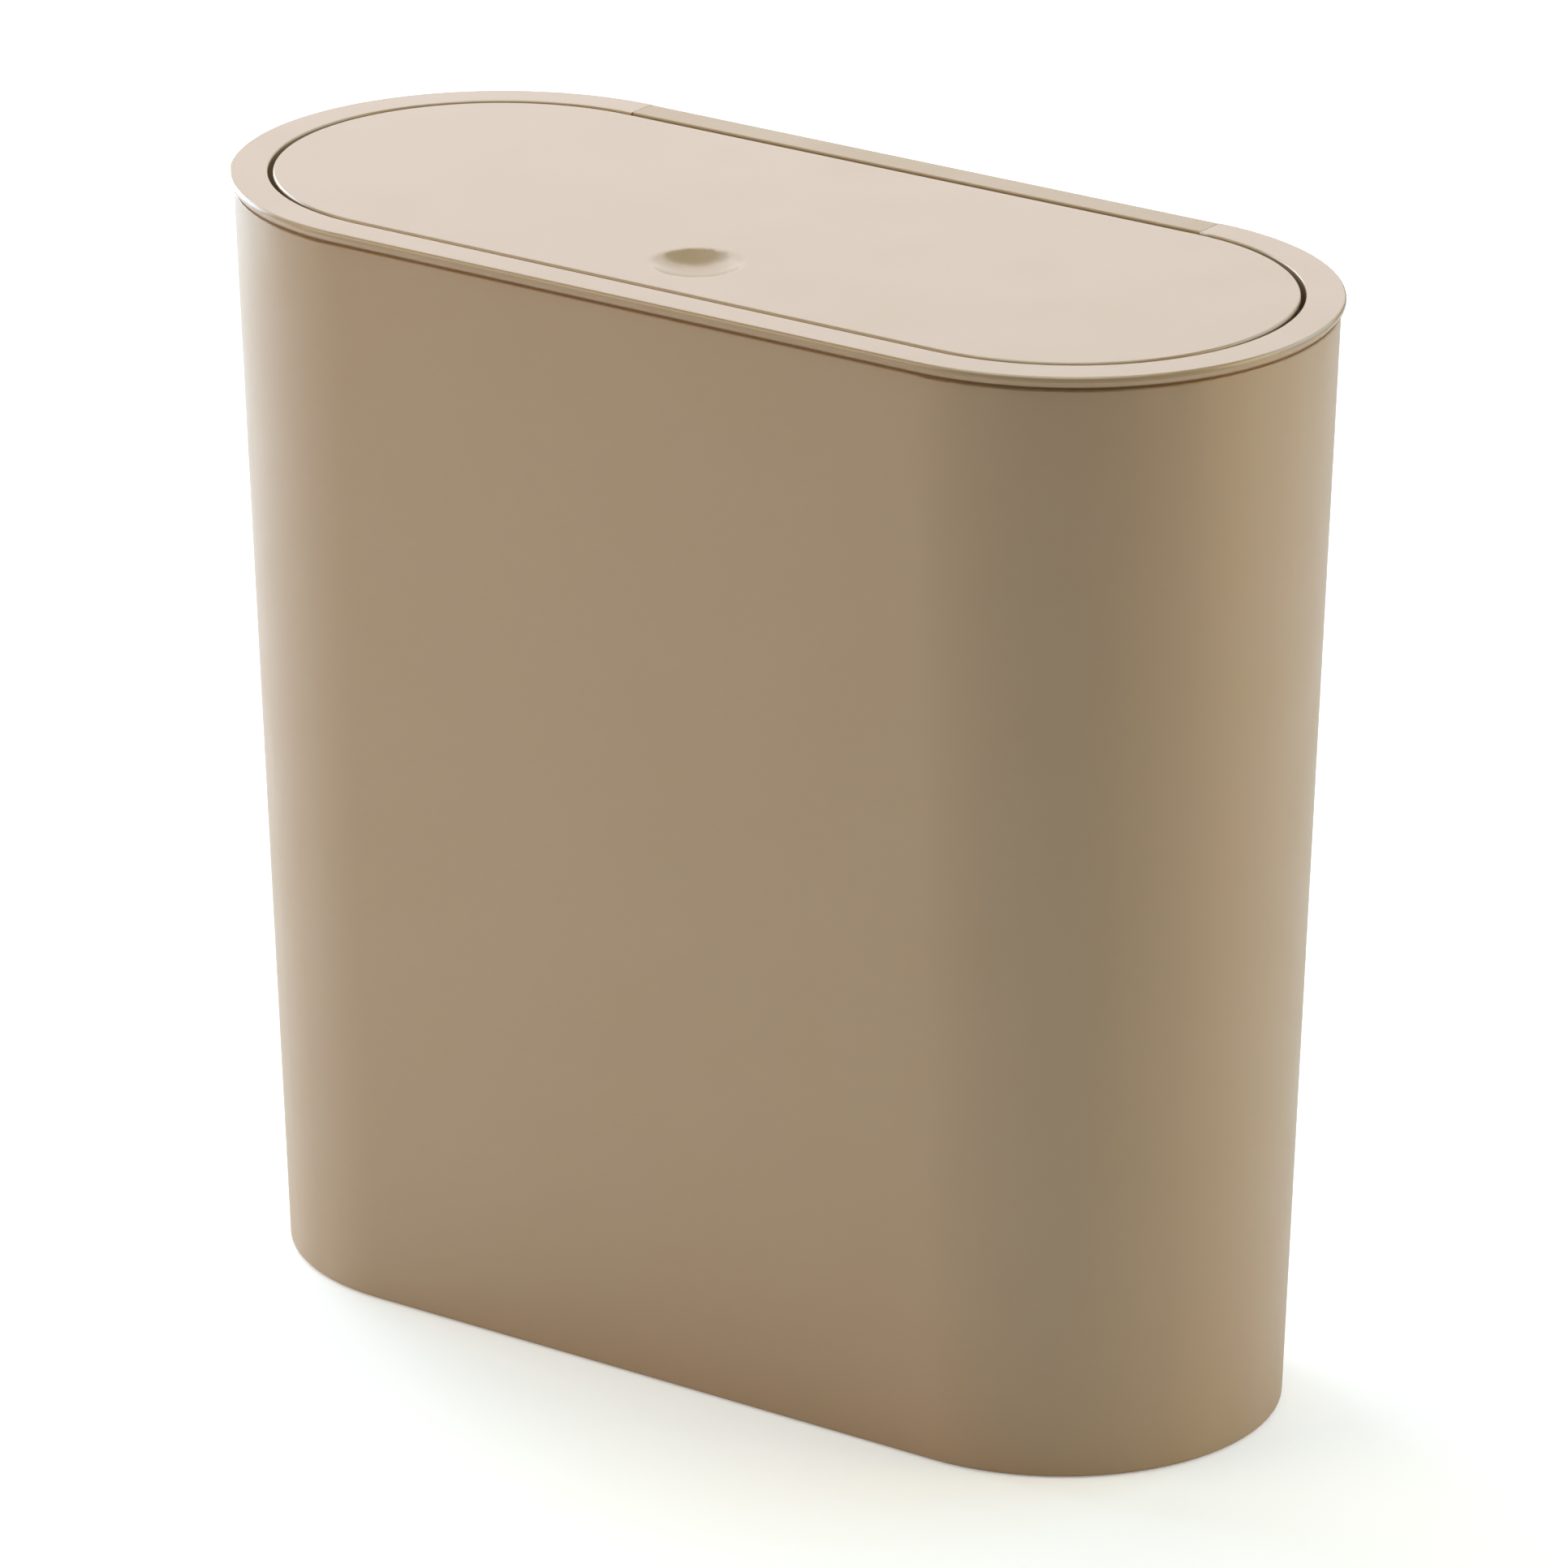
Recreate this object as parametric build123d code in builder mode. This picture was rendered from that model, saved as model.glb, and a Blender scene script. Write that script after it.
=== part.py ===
"""Slim oval push-top bin: a tapered tub, a top ring, a sprung flush lid and a heart-cam push latch.

Millimetres. The origin is the middle of the foot, +X runs along the bin, -Y is the front, where the
finger dimple is, and +Z is up. The lid is closed and latched. A push on the dimple lowers the lid's
front by the push stroke, the cam pin leaves its notch, and the torsion springs swing the lid open.
"""

import os
from math import atan2, degrees, hypot, pi, radians, sqrt, tan

from build123d import *

# ---------------------------------------------------------------- driving dimensions

# Oval plan: two half circles joined by straights
straight_length = 180.0
over = 1.0  # how far a cut runs past what it cuts
same_place = 0.01  # two places closer than this are one
wire_sides = 8  # the springs' wire is faceted, which keeps its triangles few

# Tub
tub_height = 296.3
tub_rim_radius = 68.3
tub_draft = 1.93  # degrees
tub_wall = 2.0
tub_floor = 2.4
tub_foot_rise = 2.0  # the floor's underside above the foot
tub_foot_width = 5.0
tub_foot_round = 1.2
tub_rim_round = 0.5
tub_corner_round = 5.0

# Top ring
ring_rise = 3.7  # ring's top above the tub's rim
ring_overhang = 1.2  # ring's side beyond the tub's rim
ring_width = 10.1  # from the ring's side to the lid opening
ring_plate = 2.4
ring_edge_round = 0.9
ring_lip_round = 0.5
ring_side_height = 2.8
ring_side_undercut = 1.1
ring_side_bevel_height = 1.4
shadow_line_depth = 1.1
skirt_depth = 17.3  # below the tub's rim
skirt_wall = 1.8
skirt_clearance = 0.3
collar_wall = 1.8  # the wall that hangs from the opening's edge
ledge_drop = 15.0  # ledge's top below the ring's top
ledge_width = 4.4
ledge_plate = 1.8
snap_x = 60.0
snap_length = 14.0
snap_height = 2.0
snap_reach = 0.7
snap_drop = 11.3  # below the tub's rim
snap_clearance = 0.35

# Lid
lid_gap = 1.3
lid_plate = 2.0
lid_edge_round = 0.7
lid_lip = 1.0  # the plate's edge overhangs the lid's rim by this
lid_rim_wall = 1.6
lid_depth = 8.0
dimple_inset = 22.8  # dimple's middle behind the lid's front edge
dimple_radius = 11.5
dimple_depth = 4.0
dimple_edge_round = 4.5
liner_plate = 1.6
liner_clearance = 0.2
liner_border_height = 1.6
liner_border_wall = 1.6

# Lid screws: pan heads sunk in cups in the liner
lid_screw_end_reach = 10.0  # beyond the end of the straights
lid_screw_side_x = 45.0
lid_screw_side_inset = 25.3  # from the liner's edge
lid_screw_radius = 1.25
lid_screw_head_radius = 2.5
lid_screw_head_height = 1.7
lid_screw_bite = 2.9  # length of thread in the panel's boss
lid_cup_sink = 1.9
lid_cup_floor = 1.2
lid_cup_wall = 1.2
lid_boss_radius = 3.4

# Hinge
hinge_back = 4.1  # axis behind the lid's rear edge
hinge_drop = 3.7  # axis below the ring's top
pin_radius = 1.25
pin_end_bevel = 0.3
running_clearance = 0.05
arm_boss_radius = 2.2
arm_inset = 19.0  # the arm's middle before the trough's end
arm_width = 9.6
arm_thickness = 2.4
arm_leg_half = 1.4
arm_sink = 5.5  # the gooseneck's lowest face below the axis
arm_root = 12.0  # how far the arm runs under the liner
arm_notch_gap = 0.4
seat_thickness = 2.4
seat_end_gap = 0.4
seat_front = 2.8  # the seat's front face before the axis
seat_root = 0.5  # the seat's depth in the trough's rear wall
spring_room = 10.8  # between the arm and the inner seat
trough_inset = 4.0  # the trough's end before the end of the straights
trough_back = 2.5  # the trough's rear wall behind the axis
trough_depth = 6.9  # the trough's floor below the axis
trough_floor = 1.6

# Hinge cover
cover_plate = 1.2
cover_side_round = 1.3
cover_edge_round = 0.5
cover_end_gap = 0.15
cover_front_gap = 0.5  # its front edge behind the opening's
cover_lip_wall = 1.6
cover_lip_gap = 0.1
cover_seat_gap = 0.3  # between the cover's underside and the tops of the pin seats
keeper_thickness = 2.0
keeper_clearance = 0.1
cover_screw_inset = 5.0  # the outer screws before the trough's end
cover_screw_inner_x = 22.0
cover_screw_back = 0.4  # screw line behind the hinge axis
cover_boss_radius = 2.0
cover_screw_radius = 0.9
cover_screw_length = 6.0
cover_screw_head_radius = 1.9
cover_screw_head_height = 1.4
screw_slip = 0.05
screw_head_room = 0.5

# Torsion springs
torsion_wire = 0.9
torsion_coil_radius = 1.9  # to the wire's middle
torsion_pitch = 1.65
torsion_half_turns = 9
torsion_leg_drop = 4.2
torsion_leg_bend = 1.0
torsion_leg_reach = 3.4
torsion_start_gap = 0.6  # first turn beside the arm
torsion_hole_slip = 0.15

# Push latch
latch_setback = 6.0  # the slider's middle behind the bracket's face
push_stroke = 2.5
slider_half_width = 5.0
slider_half_depth = 3.0
slider_height = 13.0
slider_drop = 23.0  # slider's top below the ring's top
slider_rail_width = 1.0
slider_rail_height = 1.5
case_clearance = 0.3
case_side_wall = 3.2
case_drop = 16.0  # case's top below the ring's top
case_spring_room = 8.0  # between the case's floor and the slider
case_floor = 2.0
case_cover = 1.6
case_ear_width = 7.0
case_ear_thickness = 2.2
case_ear_height = 10.0
case_ear_rise = 12.0  # above the case's underside
peg_radius = 0.9
peg_length = 2.6
peg_inset = 4.0
claw_base = 2.6
claw_thickness = 1.6
claw_half_depth = 2.5
claw_hook_height = 1.7
claw_hook_reach = 1.6
claw_hook_bevel = 0.8
claw_peg_radius = 1.5
claw_peg_length = 2.0

# Heart-shaped cam track, in the slider's back, and its pin. Heights are from the rest notch
track_width = 1.8
track_depth = 1.5
track_lane = 2.6
track_low = 6.9
track_knee_low = 3.4
track_high_in = -1.5
track_high_out = 1.0
cam_wire = 1.2
cam_bend = 1.0
cam_pivot_drop = 14.5  # pivot below the tip
cam_rest_drop = 4.5  # the tip below the slider's top
cam_tip_gap = 0.2

# Latch spring
latch_spring_wire = 0.8
latch_spring_radius = 2.0
latch_spring_half_turns = 8
latch_spring_seat_gap = 0.05
spring_post_radius = 1.3
spring_post_height = 2.5

# Latch screws
latch_screw_radius = 1.45
latch_screw_length = 6.5
latch_screw_head_radius = 2.7
latch_screw_head_height = 1.8

# Latch bracket, under the ring's front ledge
bracket_half_width = 18.0
bracket_plate = 2.0
bracket_depth = 42.0  # below the ring's top
bracket_rib = 1.8
bracket_rib_inset = 1.5
bracket_rib_depth = 36.0
bracket_boss_radius = 3.2
bracket_boss_length = 4.4

# Striker
striker_base_length = 20.0
striker_base_width = 8.0
striker_base_thickness = 1.8
striker_half_depth = 2.5
striker_stem_half = 1.4
striker_head_half = 3.1
striker_head_height = 4.0
striker_tip_half = 0.8
striker_tip_gap = 0.4
striker_hook_gap = 0.3
striker_screw_x = 7.0
striker_screw_radius = 1.1
striker_screw_head_radius = 2.0
striker_screw_head_height = 1.4
striker_screw_length = 6.0
striker_boss_radius = 2.6

# Pads on the ledge that end the push
pad_x = 70.0
pad_radius = 1.9
pad_gap = 0.3
pad_edge_bevel = 0.4

# ---------------------------------------------------------------- places worked out from them

half_straight = straight_length / 2
top = tub_height + ring_rise
ring_radius = tub_rim_radius + ring_overhang
opening_radius = ring_radius - ring_width
ledge_top = top - ledge_drop
ledge_under = ledge_top - ledge_plate
ledge_radius = opening_radius - ledge_width
skirt_bottom = tub_height - skirt_depth
snap_z = tub_height - snap_drop

lid_radius = opening_radius - lid_gap
lid_under = top - lid_plate
lid_bottom = top - lid_depth
rim_radius = lid_radius - lid_lip
liner_radius = rim_radius - lid_rim_wall - liner_clearance
liner_top = lid_bottom + liner_plate
lid_cup_top = lid_bottom + lid_cup_sink + lid_cup_floor
lid_screw_end_x = half_straight + lid_screw_end_reach
lid_screw_side_y = liner_radius - lid_screw_side_inset
lid_screw_places = [(lid_screw_end_x, 0), (-lid_screw_end_x, 0)] + [
    (x, y) for x in (lid_screw_side_x, -lid_screw_side_x) for y in (lid_screw_side_y, -lid_screw_side_y)
]
dimple_y = dimple_inset - lid_radius
dish_radius = (dimple_radius**2 + dimple_depth**2) / (2 * dimple_depth)

hinge_y = lid_radius + hinge_back
hinge_z = top - hinge_drop
bore_radius = pin_radius + running_clearance
trough_half_length = half_straight - trough_inset
trough_y = hinge_y + trough_back
trough_z = hinge_z - trough_depth
arm_x = trough_half_length - arm_inset
arm_inner = arm_x - arm_width / 2
arm_top = hinge_z - arm_sink + arm_thickness
outer_seat_x = arm_x + arm_width / 2 + seat_end_gap + seat_thickness / 2
inner_seat_x = arm_inner - spring_room - seat_thickness / 2
cover_under = top - cover_plate
cover_front = opening_radius + cover_front_gap
cover_screw_outer_x = trough_half_length - cover_screw_inset
cover_screw_y = hinge_y + cover_screw_back
cover_screw_x = (-cover_screw_outer_x, -cover_screw_inner_x, cover_screw_inner_x, cover_screw_outer_x)

bracket_face = -ledge_radius
latch_y = bracket_face + latch_setback
slider_top = top - slider_drop
slider_bottom = slider_top - slider_height
slider_back = latch_y + slider_half_depth
case_inner_half = slider_half_width + case_clearance
case_outer_half = case_inner_half + case_side_wall
case_top = top - case_drop
case_floor_z = slider_bottom - case_spring_room
case_bottom = case_floor_z - case_floor
case_front = latch_y - slider_half_depth - case_clearance
case_back = slider_back + slider_rail_height + case_clearance
ear_x = case_outer_half + case_ear_width / 2
ear_z = case_bottom + case_ear_rise + case_ear_height / 2
ear_face = bracket_face + case_ear_thickness
peg_places = [
    (x, z)
    for x in (case_inner_half + case_side_wall / 2, -case_inner_half - case_side_wall / 2)
    for z in (case_bottom + peg_inset, case_top - peg_inset)
]
claw_anvil = slider_top + claw_base
striker_tip = claw_anvil + striker_tip_gap
striker_shoulder = striker_tip + striker_head_height
striker_base_under = lid_bottom - striker_base_thickness
claw_hook_under = striker_shoulder + striker_hook_gap
claw_top = claw_hook_under + claw_hook_height
cam_tip_z = slider_top - cam_rest_drop
cam_pivot_z = cam_tip_z - cam_pivot_drop
cam_y = (slider_back + case_back) / 2
pad_y = -(ledge_radius + opening_radius) / 2


# ---------------------------------------------------------------- shared shapes


def tub_radius(height):
    """End radius of the tub's outer wall at a height."""
    return tub_rim_radius - (tub_height - height) * tan(radians(tub_draft))


def oval(radius, low, high, hole_radius=0.0, taper=0.0, mode=Mode.ADD):
    """Extrude the bin's oval with this end radius between two heights, in the current part."""
    with BuildSketch(Plane.XY.offset(low)) as outline:
        SlotCenterToCenter(straight_length, 2 * radius)
        if hole_radius:
            SlotCenterToCenter(straight_length, 2 * hole_radius, mode=Mode.SUBTRACT)
    extrude(outline.sketch, amount=high - low, taper=taper, mode=mode)


def post(x, y, radius, low, high, mode=Mode.ADD):
    """An upright round post between two heights, in the current part."""
    with BuildSketch(Plane.XY.offset(low)) as outline:
        with Locations((x, y)):
            Circle(radius)
    extrude(outline.sketch, amount=high - low, mode=mode)


def peg(x, z, radius, near_y, far_y, mode=Mode.ADD):
    """A round peg along Y between two depths, in the current part."""
    with BuildSketch(Plane.XZ.offset(-near_y)) as outline:
        with Locations((x, z)):
            Circle(radius)
    extrude(outline.sketch, amount=near_y - far_y, mode=mode)


def rod(x_range, y, z, radius, mode=Mode.ADD):
    """A round rod along X, in the current part."""
    with BuildSketch(Plane.YZ.offset(x_range[0])) as outline:
        with Locations((y, z)):
            Circle(radius)
    extrude(outline.sketch, amount=x_range[1] - x_range[0], mode=mode)


def block(x_range, y_range, z_range, mode=Mode.ADD):
    """A box between three pairs of limits, in the current part."""
    with BuildSketch(Plane.XY.offset(z_range[0])) as outline:
        with Locations((sum(x_range) / 2, sum(y_range) / 2)):
            Rectangle(x_range[1] - x_range[0], y_range[1] - y_range[0])
    extrude(outline.sketch, amount=z_range[1] - z_range[0], mode=mode)


def slab_across(x_middle, width, points, mode=Mode.ADD):
    """A slab with this outline of (y, z) points, centred on x_middle, in the current part."""
    with BuildSketch(Plane.YZ.offset(x_middle)) as outline:
        with BuildLine():
            Polyline(*points, close=True)
        make_face()
    extrude(outline.sketch, amount=width / 2, both=True, mode=mode)


def slab_along(y_middle, depth, points, mode=Mode.ADD):
    """A slab with this outline of (x, z) points, centred on y_middle, in the current part."""
    with BuildSketch(Plane.XZ.offset(-y_middle)) as outline:
        with BuildLine():
            Polyline(*points, close=True)
        make_face()
    extrude(outline.sketch, amount=depth / 2, both=True, mode=mode)


def near(vertex, x, y):
    """Whether a sketch's vertex lies at this place in the sketch."""
    return hypot(vertex.X - x, vertex.Y - y) < same_place


def wind(along, side, crest, radius, pitch, half_turns):
    """Add a coil to the current line, as half circles that run smoothly into each other.

    The coil's axis starts at the origin. Its wire starts at side * radius from there and first climbs
    towards the crest direction. Each half circle lies in the plane of its two ends and that direction.
    """
    step = pitch / 2
    crest_radius = hypot(radius, step / 2)
    for turn in range(half_turns):
        way = 1 if turn % 2 == 0 else -1
        here = along * (step * turn)
        ThreePointArc(
            here + side * (way * radius),
            here + along * (step / 2) + crest * (way * crest_radius),
            here + along * step - side * (way * radius),
        )


def least_gap(route, wire, coil_radius):
    """Least gap between stretches of a coiled tube over half a turn apart, measured on points."""
    count = 600
    points = [route @ (n / count) for n in range(count + 1)]
    apart = int(count * pi * coil_radius / route.length)
    nearest = min(
        (points[a] - points[b]).length for a in range(count + 1) for b in range(a + apart, count + 1)
    )
    return nearest - wire


def save(piece, name):
    """Label a finished piece and write it."""
    piece.part.label = name
    export_step(piece.part, f"parts/{name}.step")


os.makedirs("parts", exist_ok=True)

# ---------------------------------------------------------------- tub

inner_floor = tub_foot_rise + tub_floor

with BuildPart() as tub_hollow:
    oval(tub_radius(inner_floor) - tub_wall, inner_floor, tub_height, taper=-tub_draft)
    fillet(tub_hollow.edges().group_by(Axis.Z)[0], tub_corner_round)

with BuildPart() as tub:
    oval(tub_radius(0), 0, tub_height, taper=-tub_draft)
    fillet(tub.edges().group_by(Axis.Z)[0], tub_foot_round)
    fillet(tub.edges().group_by(Axis.Z)[-1], tub_rim_round)
    add(tub_hollow.part, mode=Mode.SUBTRACT)
    oval(tub_radius(0) - tub_foot_width, 0, tub_foot_rise, mode=Mode.SUBTRACT)
    # Pockets for the ring's snaps
    pocket_y = tub_radius(snap_z) - tub_wall + snap_reach
    for x in (-snap_x, snap_x):
        for side in (-1, 1):
            block(
                (x - snap_length / 2 - snap_clearance, x + snap_length / 2 + snap_clearance),
                sorted((side * (pocket_y - tub_wall), side * pocket_y)),
                (snap_z - snap_height / 2 - snap_clearance, snap_z + snap_height / 2 + snap_clearance),
                mode=Mode.SUBTRACT,
            )
save(tub, "tub")

# ---------------------------------------------------------------- ring that carries the lid

skirt_outer_top = tub_rim_radius - tub_wall - skirt_clearance
skirt_outer_bottom = tub_radius(skirt_bottom) - tub_wall - skirt_clearance
side_bottom = top - ring_side_height
ring_outline = [
    (opening_radius, top),
    (ring_radius, top),
    (ring_radius, side_bottom + ring_side_bevel_height),
    (ring_radius - ring_side_undercut, side_bottom),
    (tub_rim_radius - shadow_line_depth, side_bottom),
    (tub_rim_radius - shadow_line_depth, tub_height),
    (skirt_outer_top, tub_height),
    (skirt_outer_bottom, skirt_bottom),
    (skirt_outer_bottom - skirt_wall, skirt_bottom),
    (skirt_outer_top - skirt_wall, top - ring_plate),
    (opening_radius + collar_wall, top - ring_plate),
    (opening_radius + collar_wall, ledge_under),
    (ledge_radius, ledge_under),
    (ledge_radius, ledge_top),
    (opening_radius, ledge_top),
]

with BuildPart() as lid_frame:
    # The ring's section, swept round the opening
    with BuildSketch() as opening:
        SlotCenterToCenter(straight_length, 2 * opening_radius)
    route = opening.sketch.face().outer_wire()
    start, heading = route @ 0, route % 0
    outward = heading.cross(Vector(0, 0, 1))
    if outward.dot(Vector(0, start.Y, 0)) < 0:
        outward = outward * -1
    section_plane = Plane(origin=start, x_dir=outward, z_dir=outward.cross(Vector(0, 0, 1)))
    with BuildSketch(section_plane) as section:
        with BuildLine():
            Polyline(*[(r - opening_radius, z) for r, z in ring_outline], close=True)
        make_face()
        fillet(section.vertices().filter_by(lambda v: near(v, ring_width, top)), ring_edge_round)
        fillet(section.vertices().filter_by(lambda v: near(v, 0, top)), ring_lip_round)
    sweep(section.sketch, path=route)

    # Snaps that click into the tub's pockets
    snap_y = tub_radius(snap_z) - tub_wall - snap_clearance + snap_reach
    for x in (-snap_x, snap_x):
        for side in (-1, 1):
            block(
                (x - snap_length / 2, x + snap_length / 2),
                sorted((side * (snap_y - skirt_wall), side * snap_y)),
                (snap_z - snap_height / 2, snap_z + snap_height / 2),
            )

    # Trough for the hinge, open to the lid, with the seat for its cover
    trough_x = (-trough_half_length, trough_half_length)
    straight_x = (-half_straight, half_straight)
    block(trough_x, (lid_radius, trough_y), (trough_z, top), mode=Mode.SUBTRACT)
    block(straight_x, (lid_radius, ring_radius + over), (cover_under, top + over), mode=Mode.SUBTRACT)
    block(
        straight_x,
        (ring_radius - cover_lip_wall - cover_lip_gap, ring_radius + over),
        (side_bottom, top + over),
        mode=Mode.SUBTRACT,
    )
    block(trough_x, (opening_radius, trough_y), (trough_z - trough_floor, trough_z))

    # Pin seats, open at the top, and the holes for the springs' fixed legs
    seat_outline = [
        (hinge_y - seat_front, trough_z - trough_floor),
        (trough_y + seat_root, trough_z - trough_floor),
        (trough_y + seat_root, cover_under - cover_seat_gap),
        (hinge_y - seat_front, cover_under - cover_seat_gap),
    ]
    for side in (-1, 1):
        for x in (side * inner_seat_x, side * outer_seat_x):
            slab_across(x, seat_thickness, seat_outline)
            seat_x = (x - seat_thickness / 2, x + seat_thickness / 2)
            rod(seat_x, hinge_y, hinge_z, bore_radius, mode=Mode.SUBTRACT)
            slot_y = (hinge_y - bore_radius, hinge_y + bore_radius)
            block(seat_x, slot_y, (hinge_z, top), mode=Mode.SUBTRACT)
        rod(
            (side * inner_seat_x - seat_thickness / 2, side * inner_seat_x + seat_thickness / 2),
            hinge_y - torsion_coil_radius,
            hinge_z - torsion_leg_drop,
            torsion_wire / 2 + torsion_hole_slip,
            mode=Mode.SUBTRACT,
        )

    # Holes and head room for the cover's screws
    for x in cover_screw_x:
        post(x, cover_screw_y, cover_screw_radius + screw_slip, skirt_bottom, trough_z, mode=Mode.SUBTRACT)
        head_room = cover_screw_head_radius + screw_head_room
        post(x, cover_screw_y, head_room, skirt_bottom, trough_z - trough_floor, mode=Mode.SUBTRACT)

    # Bracket for the latch under the front ledge, with its ribs and screw bosses
    bracket_x = (-bracket_half_width, bracket_half_width)
    bracket_back = bracket_face - bracket_plate
    block(bracket_x, (bracket_back, bracket_face), (top - bracket_depth, ledge_under))
    rib_outline = [
        (-(skirt_outer_top - skirt_wall / 2), ledge_under),
        (bracket_back, ledge_under),
        (bracket_back, top - bracket_rib_depth),
        (-(skirt_outer_bottom - skirt_wall / 2), skirt_bottom),
    ]
    for x in (bracket_rib_inset - bracket_half_width, bracket_half_width - bracket_rib_inset):
        slab_across(x, bracket_rib, rib_outline)
    for x in (-ear_x, ear_x):
        boss_end = bracket_back - bracket_boss_length
        peg(x, ear_z, bracket_boss_radius, bracket_back, boss_end)
        peg(x, ear_z, latch_screw_radius + screw_slip, bracket_face, boss_end, mode=Mode.SUBTRACT)
save(lid_frame, "lid_frame")

# ---------------------------------------------------------------- hinge cover and its screws

with BuildPart() as hinge_cover:
    cover_x = (cover_end_gap - half_straight, half_straight - cover_end_gap)
    cover_outline = [
        (cover_front, top),
        (ring_radius, top),
        (ring_radius, side_bottom + ring_side_bevel_height),
        (ring_radius - ring_side_undercut, side_bottom),
        (ring_radius - cover_lip_wall, side_bottom),
        (ring_radius - cover_lip_wall, cover_under),
        (cover_front, cover_under),
    ]
    with BuildSketch(Plane.YZ.offset(cover_x[0])) as cover_section:
        with BuildLine():
            Polyline(*cover_outline, close=True)
        make_face()
        fillet(cover_section.vertices().filter_by(lambda v: near(v, ring_radius, top)), cover_side_round)
        fillet(cover_section.vertices().filter_by(lambda v: near(v, cover_front, top)), cover_edge_round)
    extrude(amount=cover_x[1] - cover_x[0])
    # Keepers close the open pin seats
    keeper_half = bore_radius - keeper_clearance
    for side in (-1, 1):
        for x in (side * inner_seat_x, side * outer_seat_x):
            block(
                (x - keeper_thickness / 2, x + keeper_thickness / 2),
                (hinge_y - keeper_half, hinge_y + keeper_half),
                (hinge_z + bore_radius, cover_under),
            )
    for x in cover_screw_x:
        post(x, cover_screw_y, cover_boss_radius, trough_z, cover_under)
        bore_top = trough_z - trough_floor + cover_screw_length + screw_head_room
        post(x, cover_screw_y, cover_screw_radius + screw_slip, trough_z, bore_top, mode=Mode.SUBTRACT)
save(hinge_cover, "hinge_cover")

with BuildPart() as cover_screws:
    for x in cover_screw_x:
        head_top = trough_z - trough_floor
        post(x, cover_screw_y, cover_screw_head_radius, head_top - cover_screw_head_height, head_top)
        post(x, cover_screw_y, cover_screw_radius, head_top, head_top + cover_screw_length)
save(cover_screws, "cover_screws")

# ---------------------------------------------------------------- hinge pins and torsion springs

pin_inner_x = inner_seat_x - seat_thickness / 2
pin_outer_x = outer_seat_x + seat_thickness / 2
for side, name in ((-1, "left"), (1, "right")):
    with BuildPart() as hinge_pin:
        rod(sorted((side * pin_inner_x, side * pin_outer_x)), hinge_y, hinge_z, pin_radius)
        chamfer(hinge_pin.edges().filter_by(GeomType.CIRCLE), pin_end_bevel)
    save(hinge_pin, f"hinge_pin_{name}")

for side, name in ((-1, "left"), (1, "right")):
    outwards, rear, up = Vector(side, 0, 0), Vector(0, 1, 0), Vector(0, 0, 1)
    bend_drop = torsion_leg_drop - torsion_leg_bend
    bend_middle = torsion_leg_bend * (1 - sqrt(0.5))
    with BuildPart() as torsion_winding:
        with BuildLine() as spring_route:
            # Moving leg, behind the arm
            first = rear * torsion_coil_radius
            hook = first - up * torsion_leg_drop + outwards * torsion_leg_bend
            Line(hook + outwards * torsion_leg_reach, hook)
            ThreePointArc(
                hook,
                first - up * (torsion_leg_drop - bend_middle) + outwards * bend_middle,
                first - up * bend_drop,
            )
            Line(first - up * bend_drop, first)
            wind(-outwards, rear, up, torsion_coil_radius, torsion_pitch, torsion_half_turns)
            # Fixed leg, in the inner seat's hole
            last = -outwards * (torsion_pitch / 2 * torsion_half_turns) - rear * torsion_coil_radius
            hook = last - up * torsion_leg_drop - outwards * torsion_leg_bend
            Line(last, last - up * bend_drop)
            ThreePointArc(
                last - up * bend_drop,
                last - up * (torsion_leg_drop - bend_middle) - outwards * bend_middle,
                hook,
            )
            Line(hook, hook - outwards * torsion_leg_reach)
        with BuildSketch(spring_route.line ^ 0):
            RegularPolygon(torsion_wire / 2, wire_sides)
        sweep(path=spring_route.line)
    with BuildPart() as torsion_spring:
        with Locations((side * (arm_inner - torsion_start_gap), hinge_y, hinge_z)):
            add(torsion_winding.part)
    gap = least_gap(spring_route.wire(), torsion_wire, torsion_coil_radius)
    print(f"torsion_spring_{name}: least gap to itself {gap:.2f} mm")
    save(torsion_spring, f"torsion_spring_{name}")

# ---------------------------------------------------------------- lid panel

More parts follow.
